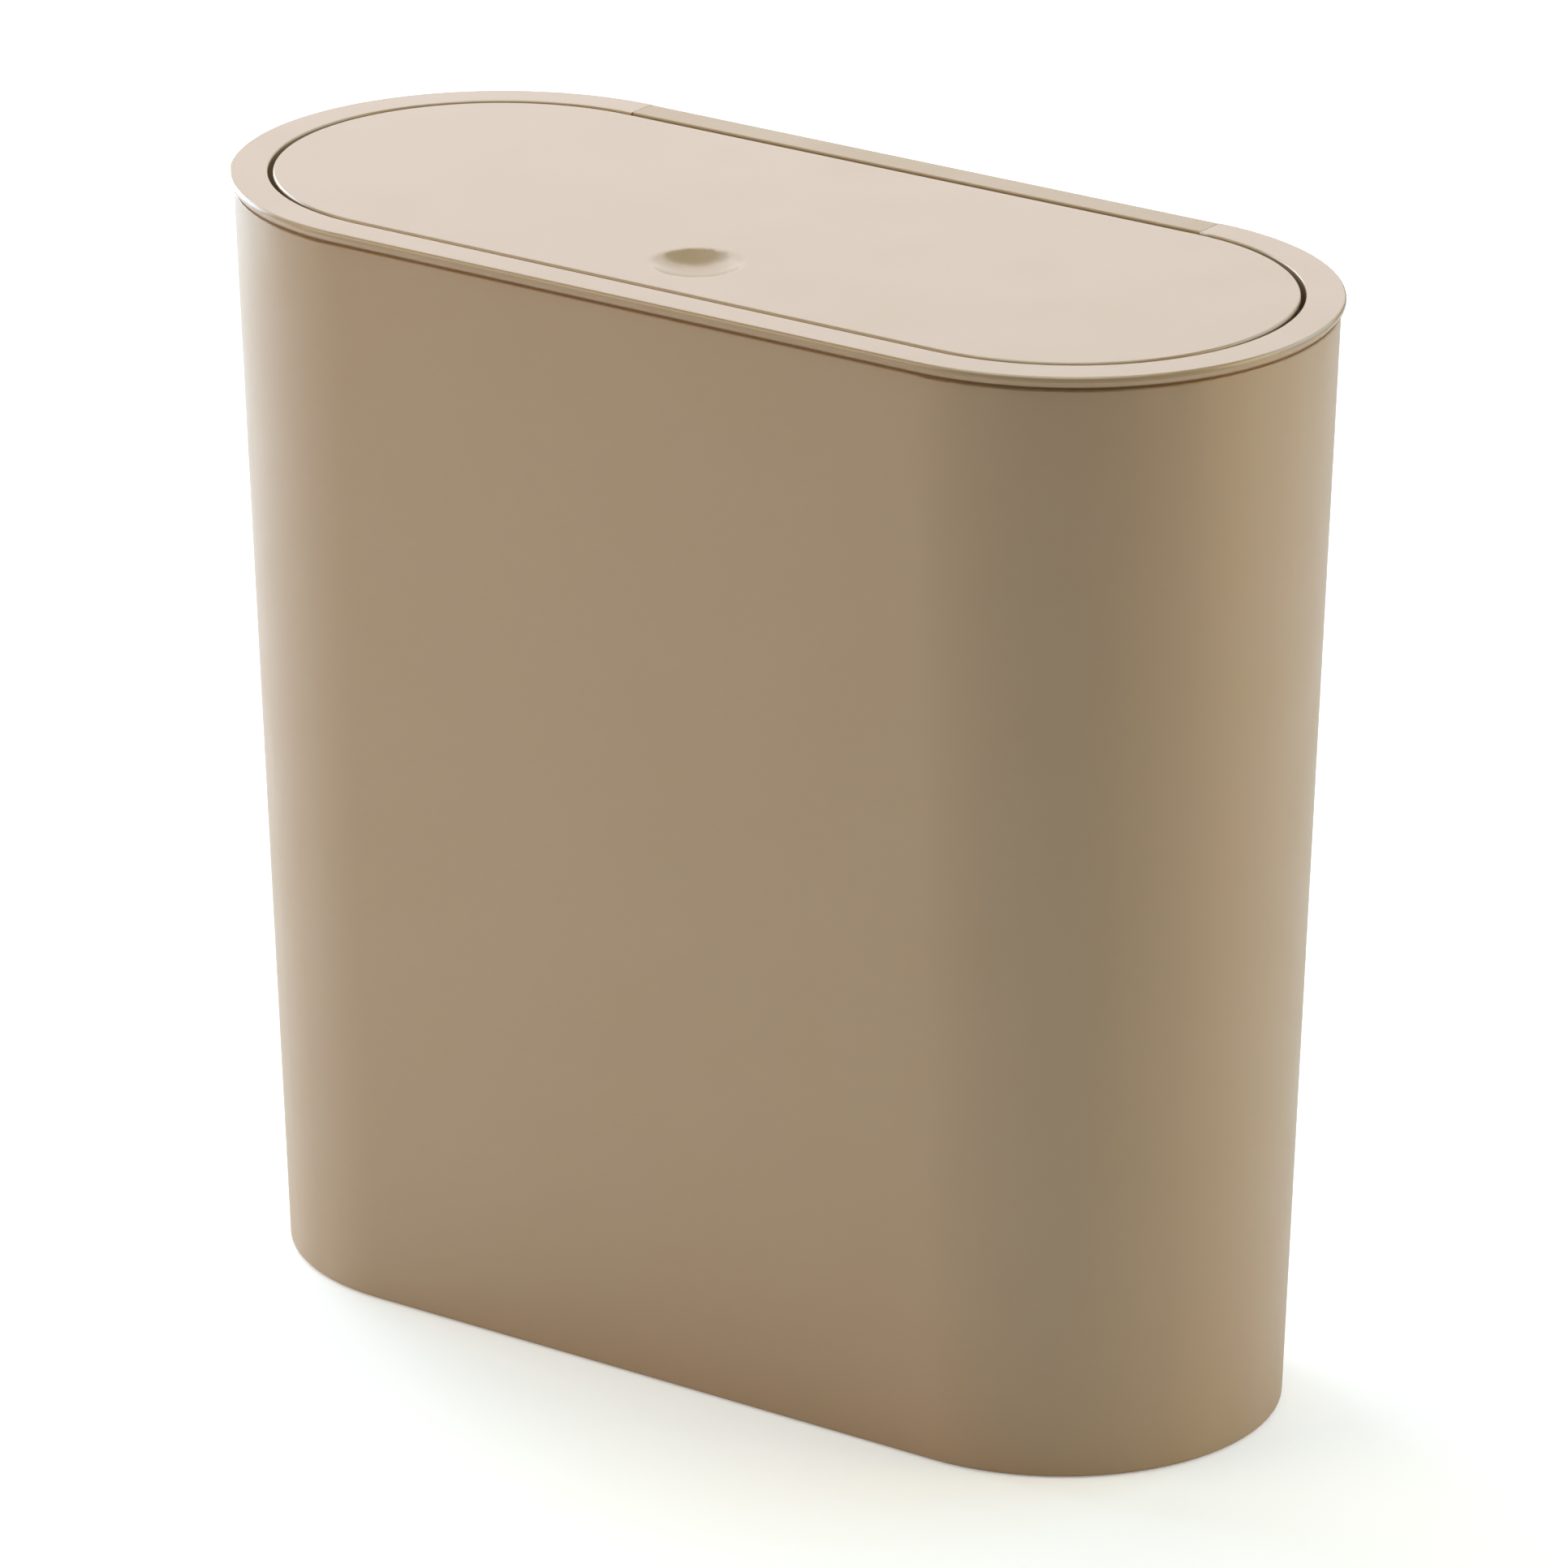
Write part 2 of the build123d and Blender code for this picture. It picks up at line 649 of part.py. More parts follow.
with BuildPart() as lid_panel:
    oval(lid_radius, lid_under, top)
    fillet(lid_panel.edges().group_by(Axis.Z)[-1], lid_edge_round)
    chamfer(lid_panel.edges().group_by(Axis.Z)[0], lid_lip)
    oval(rim_radius, lid_bottom, lid_under, hole_radius=rim_radius - lid_rim_wall)

    # Finger dimple, a round dish with the plate's thickness under it
    dish_plane = Plane.XZ.offset(-dimple_y)
    dish_axis = Axis((0, dimple_y, 0), (0, 0, 1))
    shell_radius = dish_radius + lid_plate
    shell_rise = shell_radius - dimple_depth
    shell_edge = sqrt(shell_radius**2 - shell_rise**2)
    dish_middle = top - dimple_depth + dish_radius
    with BuildSketch(dish_plane) as dish_shell:
        with BuildLine():
            middle = (shell_edge / 2, dish_middle - sqrt(shell_radius**2 - shell_edge**2 / 4))
            ThreePointArc((0, dish_middle - shell_radius), middle, (shell_edge, dish_middle - shell_rise))
            Polyline((shell_edge, dish_middle - shell_rise), (0, dish_middle - shell_rise))
            Line((0, dish_middle - shell_rise), (0, dish_middle - shell_radius))
        make_face()
    revolve(dish_shell.sketch, axis=dish_axis)
    with BuildSketch(dish_plane) as dish:
        with BuildLine():
            middle = (dimple_radius / 2, dish_middle - sqrt(dish_radius**2 - dimple_radius**2 / 4))
            ThreePointArc((0, top - dimple_depth), middle, (dimple_radius, top))
            Polyline((dimple_radius, top), (dimple_radius, top + over), (0, top + over))
            Line((0, top + over), (0, top - dimple_depth))
        make_face()
    revolve(dish.sketch, axis=dish_axis, mode=Mode.SUBTRACT)
    dish_edge = lid_panel.edges().filter_by(GeomType.CIRCLE).filter_by(
        lambda e: abs(e.radius - dimple_radius) < same_place and abs(e.center().Z - top) < same_place
    )
    fillet(dish_edge, dimple_edge_round)

    for x, y in lid_screw_places:
        post(x, y, lid_boss_radius, lid_cup_top, lid_under)
        bore_top = lid_cup_top + lid_screw_bite + screw_slip
        post(x, y, lid_screw_radius + screw_slip, lid_cup_top, bore_top, mode=Mode.SUBTRACT)
    for side in (-1, 1):
        block(
            (side * arm_x - arm_width / 2 - arm_notch_gap, side * arm_x + arm_width / 2 + arm_notch_gap),
            (rim_radius - lid_rim_wall - over, rim_radius + over),
            (lid_bottom - over, arm_top + arm_notch_gap),
            mode=Mode.SUBTRACT,
        )
save(lid_panel, "lid_panel")

# ---------------------------------------------------------------- lid liner with the hinge arms

with BuildPart() as lid_liner:
    oval(liner_radius, lid_bottom, liner_top)
    oval(
        liner_radius,
        liner_top,
        liner_top + liner_border_height,
        hole_radius=liner_radius - liner_border_wall,
    )
    for x, y in lid_screw_places:
        post(x, y, lid_screw_head_radius + screw_slip + lid_cup_wall, lid_bottom, lid_cup_top)
        cup_floor = lid_bottom + lid_cup_sink
        post(x, y, lid_screw_head_radius + screw_slip, lid_bottom, cup_floor, mode=Mode.SUBTRACT)
        post(x, y, lid_screw_radius + screw_slip, lid_bottom, lid_cup_top, mode=Mode.SUBTRACT)

    # Gooseneck arms: under the lid's rim, below the cover's edge and up to the pin
    arm_bottom = hinge_z - arm_sink
    arm_outline = [
        (hinge_y + arm_leg_half, arm_bottom),
        (hinge_y + arm_leg_half, hinge_z),
        (hinge_y - arm_leg_half, hinge_z),
        (hinge_y - arm_leg_half, arm_top),
        (liner_radius - arm_root, arm_top),
        (liner_radius - arm_root, lid_bottom),
        (liner_radius - arm_root / 2, arm_bottom),
    ]
    for side in (-1, 1):
        slab_across(side * arm_x, arm_width, arm_outline)
        arm_ends = (side * arm_x - arm_width / 2, side * arm_x + arm_width / 2)
        rod(arm_ends, hinge_y, hinge_z, arm_boss_radius)
        rod(arm_ends, hinge_y, hinge_z, bore_radius, mode=Mode.SUBTRACT)

    # Bosses for the striker's screws
    for x in (-striker_screw_x, striker_screw_x):
        bore_top = striker_base_under + striker_screw_length + screw_slip
        post(x, latch_y, striker_boss_radius, liner_top, bore_top + liner_plate / 2)
        post(x, latch_y, striker_screw_radius + screw_slip, lid_bottom, bore_top, mode=Mode.SUBTRACT)
save(lid_liner, "lid_liner")

with BuildPart() as lid_screws:
    head_seat = lid_bottom + lid_cup_sink
    for x, y in lid_screw_places:
        post(x, y, lid_screw_head_radius, head_seat - lid_screw_head_height, head_seat)
        post(x, y, lid_screw_radius, head_seat, lid_cup_top + lid_screw_bite)
save(lid_screws, "lid_screws")

# ---------------------------------------------------------------- striker under the lid

with BuildPart() as latch_striker:
    base_half = striker_base_length / 2
    block(
        (-base_half, base_half),
        (latch_y - striker_base_width / 2, latch_y + striker_base_width / 2),
        (striker_base_under, lid_bottom),
    )
    arrow = [
        (-striker_stem_half, striker_base_under),
        (-striker_stem_half, striker_shoulder),
        (-striker_head_half, striker_shoulder),
        (-striker_tip_half, striker_tip),
        (striker_tip_half, striker_tip),
        (striker_head_half, striker_shoulder),
        (striker_stem_half, striker_shoulder),
        (striker_stem_half, striker_base_under),
    ]
    slab_along(latch_y, 2 * striker_half_depth, arrow)
    for x in (-striker_screw_x, striker_screw_x):
        hole_radius = striker_screw_radius + screw_slip
        post(x, latch_y, hole_radius, striker_base_under, lid_bottom, mode=Mode.SUBTRACT)
save(latch_striker, "latch_striker")

with BuildPart() as striker_screws:
    for x in (-striker_screw_x, striker_screw_x):
        head_bottom = striker_base_under - striker_screw_head_height
        post(x, latch_y, striker_screw_head_radius, head_bottom, striker_base_under)
        shank_top = striker_base_under + striker_screw_length
        post(x, latch_y, striker_screw_radius, striker_base_under, shank_top)
save(striker_screws, "striker_screws")

# ---------------------------------------------------------------- latch case and its cover

with BuildPart() as latch_case:
    case_x = (-case_outer_half, case_outer_half)
    block(case_x, (bracket_face, case_back), (case_bottom, case_top))
    block(
        (-case_inner_half, case_inner_half),
        (case_front, case_back),
        (case_floor_z, case_top),
        mode=Mode.SUBTRACT,
    )
    post(0, latch_y, spring_post_radius, case_floor_z, case_floor_z + spring_post_height)
    for side in (-1, 1):
        block(
            sorted((side * case_outer_half, side * (case_outer_half + case_ear_width))),
            (bracket_face, ear_face),
            (ear_z - case_ear_height / 2, ear_z + case_ear_height / 2),
        )
        hole_radius = latch_screw_radius + screw_slip
        peg(side * ear_x, ear_z, hole_radius, ear_face, bracket_face, mode=Mode.SUBTRACT)
    for x, z in peg_places:
        hole_end = case_back - peg_length - screw_slip
        peg(x, z, peg_radius + screw_slip, case_back, hole_end, mode=Mode.SUBTRACT)
save(latch_case, "latch_case")

with BuildPart() as latch_cover:
    block(case_x, (case_back, case_back + case_cover), (case_bottom, case_top))
    for x, z in peg_places:
        peg(x, z, peg_radius, case_back, case_back - peg_length)
    pivot_radius = cam_wire / 2 + running_clearance
    peg(0, cam_pivot_z, pivot_radius, case_back + case_cover, case_back, mode=Mode.SUBTRACT)
save(latch_cover, "latch_cover")

with BuildPart() as latch_screws:
    for x in (-ear_x, ear_x):
        peg(x, ear_z, latch_screw_head_radius, ear_face + latch_screw_head_height, ear_face)
        peg(x, ear_z, latch_screw_radius, ear_face, ear_face - latch_screw_length)
save(latch_screws, "latch_screws")

# ---------------------------------------------------------------- slider with the heart-shaped track

with BuildPart() as latch_slider:
    slider_x = (-slider_half_width, slider_half_width)
    slider_z = (slider_bottom, slider_top)
    block(slider_x, (latch_y - slider_half_depth, slider_back), slider_z)
    for side in (-1, 1):
        block(
            sorted((side * (slider_half_width - slider_rail_width), side * slider_half_width)),
            (slider_back, slider_back + slider_rail_height),
            slider_z,
        )
    peg_hole_low = slider_top - claw_peg_length - screw_slip
    post(0, latch_y, claw_peg_radius + screw_slip, peg_hole_low, slider_top, mode=Mode.SUBTRACT)
    # The pin climbs one lane, rests in the notch at (0, 0), and comes down the other
    track_points = [
        (0, -track_low),
        (-track_lane, -track_knee_low),
        (track_high_in, push_stroke),
        (0, 0),
        (track_high_out, push_stroke),
        (track_lane, -track_knee_low),
    ]
    track_face = Plane(origin=(0, slider_back, cam_tip_z), x_dir=(1, 0, 0), z_dir=(0, -1, 0))
    with BuildSketch(track_face) as track:
        for a, b in zip(track_points, track_points[1:] + track_points[:1]):
            run = hypot(b[0] - a[0], b[1] - a[1])
            lean = degrees(atan2(b[1] - a[1], b[0] - a[0]))
            with Locations(((a[0] + b[0]) / 2, (a[1] + b[1]) / 2)):
                SlotCenterToCenter(run, track_width, rotation=lean)
    extrude(track.sketch, amount=track_depth, mode=Mode.SUBTRACT)
save(latch_slider, "latch_slider")

with BuildPart() as latch_claws:
    block(slider_x, (latch_y - claw_half_depth, latch_y + claw_half_depth), (slider_top, claw_anvil))
    post(0, latch_y, claw_peg_radius, slider_top - claw_peg_length, slider_top)
    claw_inner = slider_half_width - claw_thickness
    for side in (-1, 1):
        claw = [
            (side * slider_half_width, claw_anvil),
            (side * slider_half_width, claw_top),
            (side * claw_inner, claw_top),
            (side * (claw_inner - claw_hook_reach), claw_hook_under + claw_hook_bevel),
            (side * (claw_inner - claw_hook_reach), claw_hook_under),
            (side * claw_inner, claw_hook_under),
            (side * claw_inner, claw_anvil),
        ]
        slab_along(latch_y, 2 * claw_half_depth, claw)
save(latch_claws, "latch_claws")

# ---------------------------------------------------------------- cam pin and latch spring

with BuildPart() as latch_cam_pin:
    with BuildLine() as pin_route:
        FilletPolyline(
            (0, case_back + case_cover, cam_pivot_z),
            (0, cam_y, cam_pivot_z),
            (0, cam_y, cam_tip_z),
            (0, slider_back - track_depth + cam_tip_gap, cam_tip_z),
            radius=cam_bend,
        )
    with BuildSketch(pin_route.line ^ 0):
        Circle(cam_wire / 2)
    sweep(path=pin_route.line)
save(latch_cam_pin, "latch_cam_pin")

spring_low = case_floor_z + latch_spring_wire / 2 + latch_spring_seat_gap
spring_high = slider_bottom - latch_spring_wire / 2 - latch_spring_seat_gap
spring_pitch = 2 * (spring_high - spring_low) / latch_spring_half_turns

with BuildPart() as latch_winding:
    with BuildLine() as latch_spring_route:
        wind(
            Vector(0, 0, 1),
            Vector(1, 0, 0),
            Vector(0, 1, 0),
            latch_spring_radius,
            spring_pitch,
            latch_spring_half_turns,
        )
    with BuildSketch(latch_spring_route.line ^ 0):
        RegularPolygon(latch_spring_wire / 2, wire_sides)
    sweep(path=latch_spring_route.line)

with BuildPart() as latch_spring:
    with Locations((0, latch_y, spring_low)):
        add(latch_winding.part)
gap = least_gap(latch_spring_route.wire(), latch_spring_wire, latch_spring_radius)
print(f"latch_spring: least gap to itself {gap:.2f} mm")
save(latch_spring, "latch_spring")

# ---------------------------------------------------------------- pads that end the push

with BuildPart() as closing_pads:
    pad_top = lid_bottom - push_stroke * (hinge_y - pad_y) / (hinge_y - latch_y) - pad_gap
    for x in (-pad_x, pad_x):
        post(x, pad_y, pad_radius, ledge_top, pad_top)
    chamfer(closing_pads.edges().group_by(Axis.Z)[-1], pad_edge_bevel)
save(closing_pads, "closing_pads")
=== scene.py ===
"""Looks of a slim oval push-top bin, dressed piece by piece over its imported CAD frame.

Metres. The origin is the middle of the foot, +X runs along the bin, -Y is the front, where the
finger dimple is, and +Z is up.
"""

import logging
import math
from collections.abc import Callable
from dataclasses import dataclass, field
from enum import Enum

import bpy
from mathutils import Matrix, Vector

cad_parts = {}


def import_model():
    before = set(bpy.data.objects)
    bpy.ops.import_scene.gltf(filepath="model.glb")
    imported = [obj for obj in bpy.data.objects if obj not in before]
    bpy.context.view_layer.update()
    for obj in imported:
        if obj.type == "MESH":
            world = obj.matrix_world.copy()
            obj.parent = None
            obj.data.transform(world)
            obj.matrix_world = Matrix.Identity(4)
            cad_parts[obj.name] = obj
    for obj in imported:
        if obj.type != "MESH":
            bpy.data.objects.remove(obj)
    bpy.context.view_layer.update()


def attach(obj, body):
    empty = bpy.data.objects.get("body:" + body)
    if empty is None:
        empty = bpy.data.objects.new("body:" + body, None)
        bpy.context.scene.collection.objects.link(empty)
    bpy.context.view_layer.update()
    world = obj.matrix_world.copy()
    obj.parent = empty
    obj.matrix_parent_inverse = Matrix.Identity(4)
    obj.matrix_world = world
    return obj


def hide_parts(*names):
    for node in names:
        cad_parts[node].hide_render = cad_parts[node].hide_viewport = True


LOG = logging.getLogger("bin")
MM = 0.001
Colour = tuple[float, float, float]
Point = tuple[float, float]


# ---------------------------------------------------------------- node trees


class Wiring:
    """Adds nodes to one tree and links them."""

    def __init__(self, tree: bpy.types.NodeTree) -> None:
        """Start on a tree.

        Args:
            tree: The material's or group's node tree.
        """
        self.tree = tree
        self.column = 0

    def add(self, kind: str, **settings: object) -> bpy.types.Node:
        """Add a node and set its properties.

        Args:
            kind: The node's type name without the ShaderNode prefix.
            **settings: Properties of the node.

        Returns:
            The new node.
        """
        prefix = "" if kind.startswith("Node") else "ShaderNode"
        node = self.tree.nodes.new(prefix + kind)
        node.location = (self.column * 190.0, 0.0)
        self.column += 1
        for name, value in settings.items():
            setattr(node, name, value)
        return node

    def link(self, source: bpy.types.NodeSocket, target: bpy.types.NodeSocket) -> None:
        """Join an output to an input."""
        self.tree.links.new(source, target)

    def math(self, operation: str, first: object, second: object) -> bpy.types.NodeSocket:
        """Combine two values.

        Args:
            operation: A Math node operation.
            first: A socket or a number.
            second: A socket or a number.

        Returns:
            The result's socket.
        """
        node = self.add("Math", operation=operation)
        for socket, value in zip(node.inputs, (first, second)):
            self.feed(socket, value)
        return node.outputs[0]

    def feed(self, socket: bpy.types.NodeSocket, value: object) -> None:
        """Link a socket, or set its number."""
        if isinstance(value, bpy.types.NodeSocket):
            self.link(value, socket)
        else:
            socket.default_value = value

    def noise(self, vector: bpy.types.NodeSocket, scale: float, detail: float) -> bpy.types.NodeSocket:
        """Noise of one scale, from 0 to 1.

        Args:
            vector: Where the noise is read.
            scale: Its frequency per metre.
            detail: Octaves of finer noise.

        Returns:
            The noise's socket.
        """
        node = self.add("TexNoise")
        node.inputs["Scale"].default_value = scale
        node.inputs["Detail"].default_value = detail
        self.link(vector, node.inputs["Vector"])
        return node.outputs["Fac"]

    def stretch(self, vector: bpy.types.NodeSocket, scale: Colour) -> bpy.types.NodeSocket:
        """Scale coordinates along each axis.

        Args:
            vector: The coordinates.
            scale: A factor for each axis.

        Returns:
            The stretched coordinates.
        """
        node = self.add("Mapping")
        node.inputs["Scale"].default_value = scale
        self.link(vector, node.inputs["Vector"])
        return node.outputs["Vector"]

    def levels(self, value: bpy.types.NodeSocket, low: float, high: float, to_low: float, to_high: float
               ) -> bpy.types.NodeSocket:
        """Move a value from one range to another and clamp it.

        Args:
            value: The value to move.
            low: The old range's start.
            high: The old range's end.
            to_low: The new range's start.
            to_high: The new range's end.

        Returns:
            The moved value's socket.
        """
        node = self.add("MapRange")
        for name, number in (("From Min", low), ("From Max", high), ("To Min", to_low), ("To Max", to_high)):
            node.inputs[name].default_value = number
        self.link(value, node.inputs["Value"])
        return node.outputs["Result"]


class EffectGroups:
    """Shader node groups that several materials share, each made once."""

    def __init__(self) -> None:
        """Start with no groups made."""
        self.made: dict[str, bpy.types.NodeTree] = {}

    def _new(self, name: str, inputs: list[tuple[str, str, object]], outputs: list[tuple[str, str]]
             ) -> tuple[Wiring, bpy.types.Node, bpy.types.Node]:
        """Make an empty group with named sockets.

        Args:
            name: The group's name.
            inputs: Name, type and default of each input.
            outputs: Name and type of each output.

        Returns:
            The group's wiring, its input node and its output node.
        """
        tree = bpy.data.node_groups.new(name, "ShaderNodeTree")
        for label, kind, default in inputs:
            socket = tree.interface.new_socket(label, in_out="INPUT", socket_type="NodeSocket" + kind)
            if default is not None:
                socket.default_value = default
        for label, kind in outputs:
            tree.interface.new_socket(label, in_out="OUTPUT", socket_type="NodeSocket" + kind)
        wiring = Wiring(tree)
        self.made[name] = tree
        return wiring, wiring.add("NodeGroupInput"), wiring.add("NodeGroupOutput")

    def mottle(self) -> bpy.types.NodeTree:
        """Broad, faint clouds of a second colour, as moulded plastic has.

        Returns:
            The group.
        """
        if "mottle" in self.made:
            return self.made["mottle"]
        inputs = [("Vector", "Vector", None), ("Base", "Color", None), ("Cloud", "Color", None),
                  ("Scale", "Float", 12.0), ("Amount", "Float", 0.3)]
        wiring, enter, leave = self._new("mottle", inputs, [("Color", "Color")])
        node = wiring.add("TexNoise")
        node.inputs["Detail"].default_value = 3.0
        wiring.link(enter.outputs["Vector"], node.inputs["Vector"])
        wiring.link(enter.outputs["Scale"], node.inputs["Scale"])
        clouds = wiring.levels(node.outputs["Fac"], 0.35, 0.68, 0.0, 1.0)
        share = wiring.math("MULTIPLY", clouds, enter.outputs["Amount"])
        mix = wiring.add("Mix", data_type="RGBA")
        wiring.link(share, mix.inputs["Factor"])
        wiring.link(enter.outputs["Base"], mix.inputs["A"])
        wiring.link(enter.outputs["Cloud"], mix.inputs["B"])
        wiring.link(mix.outputs["Result"], leave.inputs["Color"])
        return wiring.tree

    def grain(self) -> bpy.types.NodeTree:
        """Spark-eroded mould texture: fine pits over a softer swell.

        Returns:
            The group.
        """
        if "grain" in self.made:
            return self.made["grain"]
        inputs = [("Vector", "Vector", None), ("Scale", "Float", 2600.0), ("Swell", "Float", 0.25)]
        wiring, enter, leave = self._new("grain", inputs, [("Height", "Float")])
        fine = wiring.add("TexNoise")
        fine.inputs["Detail"].default_value = 2.0
        wiring.link(enter.outputs["Vector"], fine.inputs["Vector"])
        wiring.link(enter.outputs["Scale"], fine.inputs["Scale"])
        broad = wiring.add("TexNoise")
        broad.inputs["Detail"].default_value = 1.0
        wiring.link(enter.outputs["Vector"], broad.inputs["Vector"])
        wiring.link(wiring.math("MULTIPLY", enter.outputs["Scale"], 0.12), broad.inputs["Scale"])
        swell = wiring.math("MULTIPLY", broad.outputs["Fac"], enter.outputs["Swell"])
        wiring.link(wiring.math("ADD", fine.outputs["Fac"], swell), leave.inputs["Height"])
        return wiring.tree

    def streaks(self) -> bpy.types.NodeTree:
        """Fine lines drawn along X, as on draw-polished moulds and drawn wire.

        Returns:
            The group.
        """
        if "streaks" in self.made:
            return self.made["streaks"]
        inputs = [("Vector", "Vector", None), ("Fineness", "Float", 900.0)]
        wiring, enter, leave = self._new("streaks", inputs, [("Lines", "Float")])
        drawn = wiring.stretch(enter.outputs["Vector"], (0.03, 0.03, 1.0))
        node = wiring.add("TexNoise")
        node.inputs["Detail"].default_value = 2.0
        wiring.link(drawn, node.inputs["Vector"])
        wiring.link(enter.outputs["Fineness"], node.inputs["Scale"])
        wiring.link(node.outputs["Fac"], leave.inputs["Lines"])
        return wiring.tree

    def dust(self) -> bpy.types.NodeTree:
        """A mask of the dust that settles on faces that look up.

        Returns:
            The group.
        """
        if "dust" in self.made:
            return self.made["dust"]
        inputs = [("Vector", "Vector", None), ("Amount", "Float", 0.1)]
        wiring, enter, leave = self._new("dust", inputs, [("Mask", "Float")])
        lie = wiring.add("NewGeometry")
        split = wiring.add("SeparateXYZ")
        wiring.link(lie.outputs["Normal"], split.inputs[0])
        upward = wiring.levels(split.outputs["Z"], 0.6, 1.0, 0.0, 1.0)
        specks = wiring.levels(wiring.noise(enter.outputs["Vector"], 700.0, 4.0), 0.5, 0.75, 0.0, 1.0)
        drift = wiring.levels(wiring.noise(enter.outputs["Vector"], 25.0, 2.0), 0.35, 0.7, 0.2, 1.0)
        mask = wiring.math("MULTIPLY", wiring.math("MULTIPLY", upward, specks), drift)
        wiring.link(wiring.math("MULTIPLY", mask, enter.outputs["Amount"]), leave.inputs["Mask"])
        return wiring.tree


GROUPS = EffectGroups()


# ---------------------------------------------------------------- finishes


@dataclass(frozen=True)
class Moulding:
    """A moulded plastic's finish.

    Attributes:
        name: The record's material slot.
        base: Its colour.
        cloud: The colour of its faint clouds.
        roughness: Its middle roughness.
        gloss: Its specular level.
        grain_scale: Frequency of the mould texture per metre.
        grain_depth: Height of the mould texture.
        streak_share: How much the drawn lines count beside the grain.
        dust: How much dust lies on faces that look up.
        cloud_share: How much the clouds show.
        cloud_scale: Frequency of the clouds per metre.
        variant: Sets a second finish of the same slot apart.
    """

    name: str
    base: Colour
    cloud: Colour
    roughness: float = 0.45
    gloss: float = 0.5
    grain_scale: float = 2600.0
    grain_depth: float = 0.00002
    streak_share: float = 0.3
    dust: float = 0.05
    cloud_share: float = 0.3
    cloud_scale: float = 12.0
    variant: str = ""

    def material(self) -> bpy.types.Material:
        """Build the material, or find it.

        Returns:
            The material.
        """
        label = self.name + self.variant + "_finish"
        if label in bpy.data.materials:
            return bpy.data.materials[label]
        made = bpy.data.materials.new(label)
        made.use_nodes = True
        wiring = Wiring(made.node_tree)
        shader = made.node_tree.nodes["Principled BSDF"]
        shader.inputs["Specular IOR Level"].default_value = self.gloss
        place = wiring.add("TexCoord").outputs["Object"]

        colour = wiring.add("Group", node_tree=GROUPS.mottle())
        wiring.link(place, colour.inputs["Vector"])
        colour.inputs["Base"].default_value = (*self.base, 1.0)
        colour.inputs["Cloud"].default_value = (*self.cloud, 1.0)
        colour.inputs["Scale"].default_value = self.cloud_scale
        colour.inputs["Amount"].default_value = self.cloud_share
        dust = wiring.add("Group", node_tree=GROUPS.dust())
        wiring.link(place, dust.inputs["Vector"])
        dust.inputs["Amount"].default_value = self.dust
        dusted = wiring.add("Mix", data_type="RGBA")
        dusted.inputs["B"].default_value = (0.72, 0.70, 0.67, 1.0)
        wiring.link(dust.outputs["Mask"], dusted.inputs["Factor"])
        wiring.link(colour.outputs["Color"], dusted.inputs["A"])
        wiring.link(dusted.outputs["Result"], shader.inputs["Base Color"])

        grain = wiring.add("Group", node_tree=GROUPS.grain())
        wiring.link(place, grain.inputs["Vector"])
        grain.inputs["Scale"].default_value = self.grain_scale
        lines = wiring.add("Group", node_tree=GROUPS.streaks())
        wiring.link(place, lines.inputs["Vector"])
        drawn = wiring.math("MULTIPLY", lines.outputs["Lines"], self.streak_share)
        height = wiring.math("ADD", grain.outputs["Height"], drawn)
        bump = wiring.add("Bump")
        bump.inputs["Strength"].default_value = 0.6
        bump.inputs["Distance"].default_value = self.grain_depth
        wiring.link(height, bump.inputs["Height"])
        wiring.link(bump.outputs["Normal"], shader.inputs["Normal"])

        patches = wiring.levels(wiring.noise(place, 40.0, 3.0), 0.3, 0.7, -0.04, 0.04)
        worn = wiring.math("ADD", patches, wiring.math("MULTIPLY", dust.outputs["Mask"], 0.4))
        wiring.link(wiring.math("ADD", worn, self.roughness), shader.inputs["Roughness"])
        return made


@dataclass(frozen=True)
class Steel:
    """A bright steel finish.

    Attributes:
        name: The record's material slot.
        base: Its colour.
        tint: The colour of its faint stains.
        roughness: Its middle roughness.
        line_scale: Frequency of the drawn lines per metre.
        line_depth: Height of the drawn lines.
    """

    name: str
    base: Colour
    tint: Colour
    roughness: float = 0.28
    line_scale: float = 6000.0
    line_depth: float = 0.000006

    def material(self) -> bpy.types.Material:
        """Build the material, or find it.

        Returns:
            The material.
        """
        label = self.name + "_finish"
        if label in bpy.data.materials:
            return bpy.data.materials[label]
        made = bpy.data.materials.new(label)
        made.use_nodes = True
        wiring = Wiring(made.node_tree)
        shader = made.node_tree.nodes["Principled BSDF"]
        shader.inputs["Metallic"].default_value = 1.0
        place = wiring.add("TexCoord").outputs["Object"]
        colour = wiring.add("Group", node_tree=GROUPS.mottle())
        wiring.link(place, colour.inputs["Vector"])
        colour.inputs["Base"].default_value = (*self.base, 1.0)
        colour.inputs["Cloud"].default_value = (*self.tint, 1.0)
        colour.inputs["Scale"].default_value = 400.0
        wiring.link(colour.outputs["Color"], shader.inputs["Base Color"])
        lines = wiring.add("Group", node_tree=GROUPS.streaks())
        wiring.link(place, lines.inputs["Vector"])
        lines.inputs["Fineness"].default_value = self.line_scale
        bump = wiring.add("Bump")
        bump.inputs["Strength"].default_value = 0.5
        bump.inputs["Distance"].default_value = self.line_depth
        wiring.link(lines.outputs["Lines"], bump.inputs["Height"])
        wiring.link(bump.outputs["Normal"], shader.inputs["Normal"])
        stains = wiring.levels(wiring.noise(place, 900.0, 3.0), 0.3, 0.7, -0.05, 0.06)
        wiring.link(wiring.math("ADD", stains, self.roughness), shader.inputs["Roughness"])
        return made


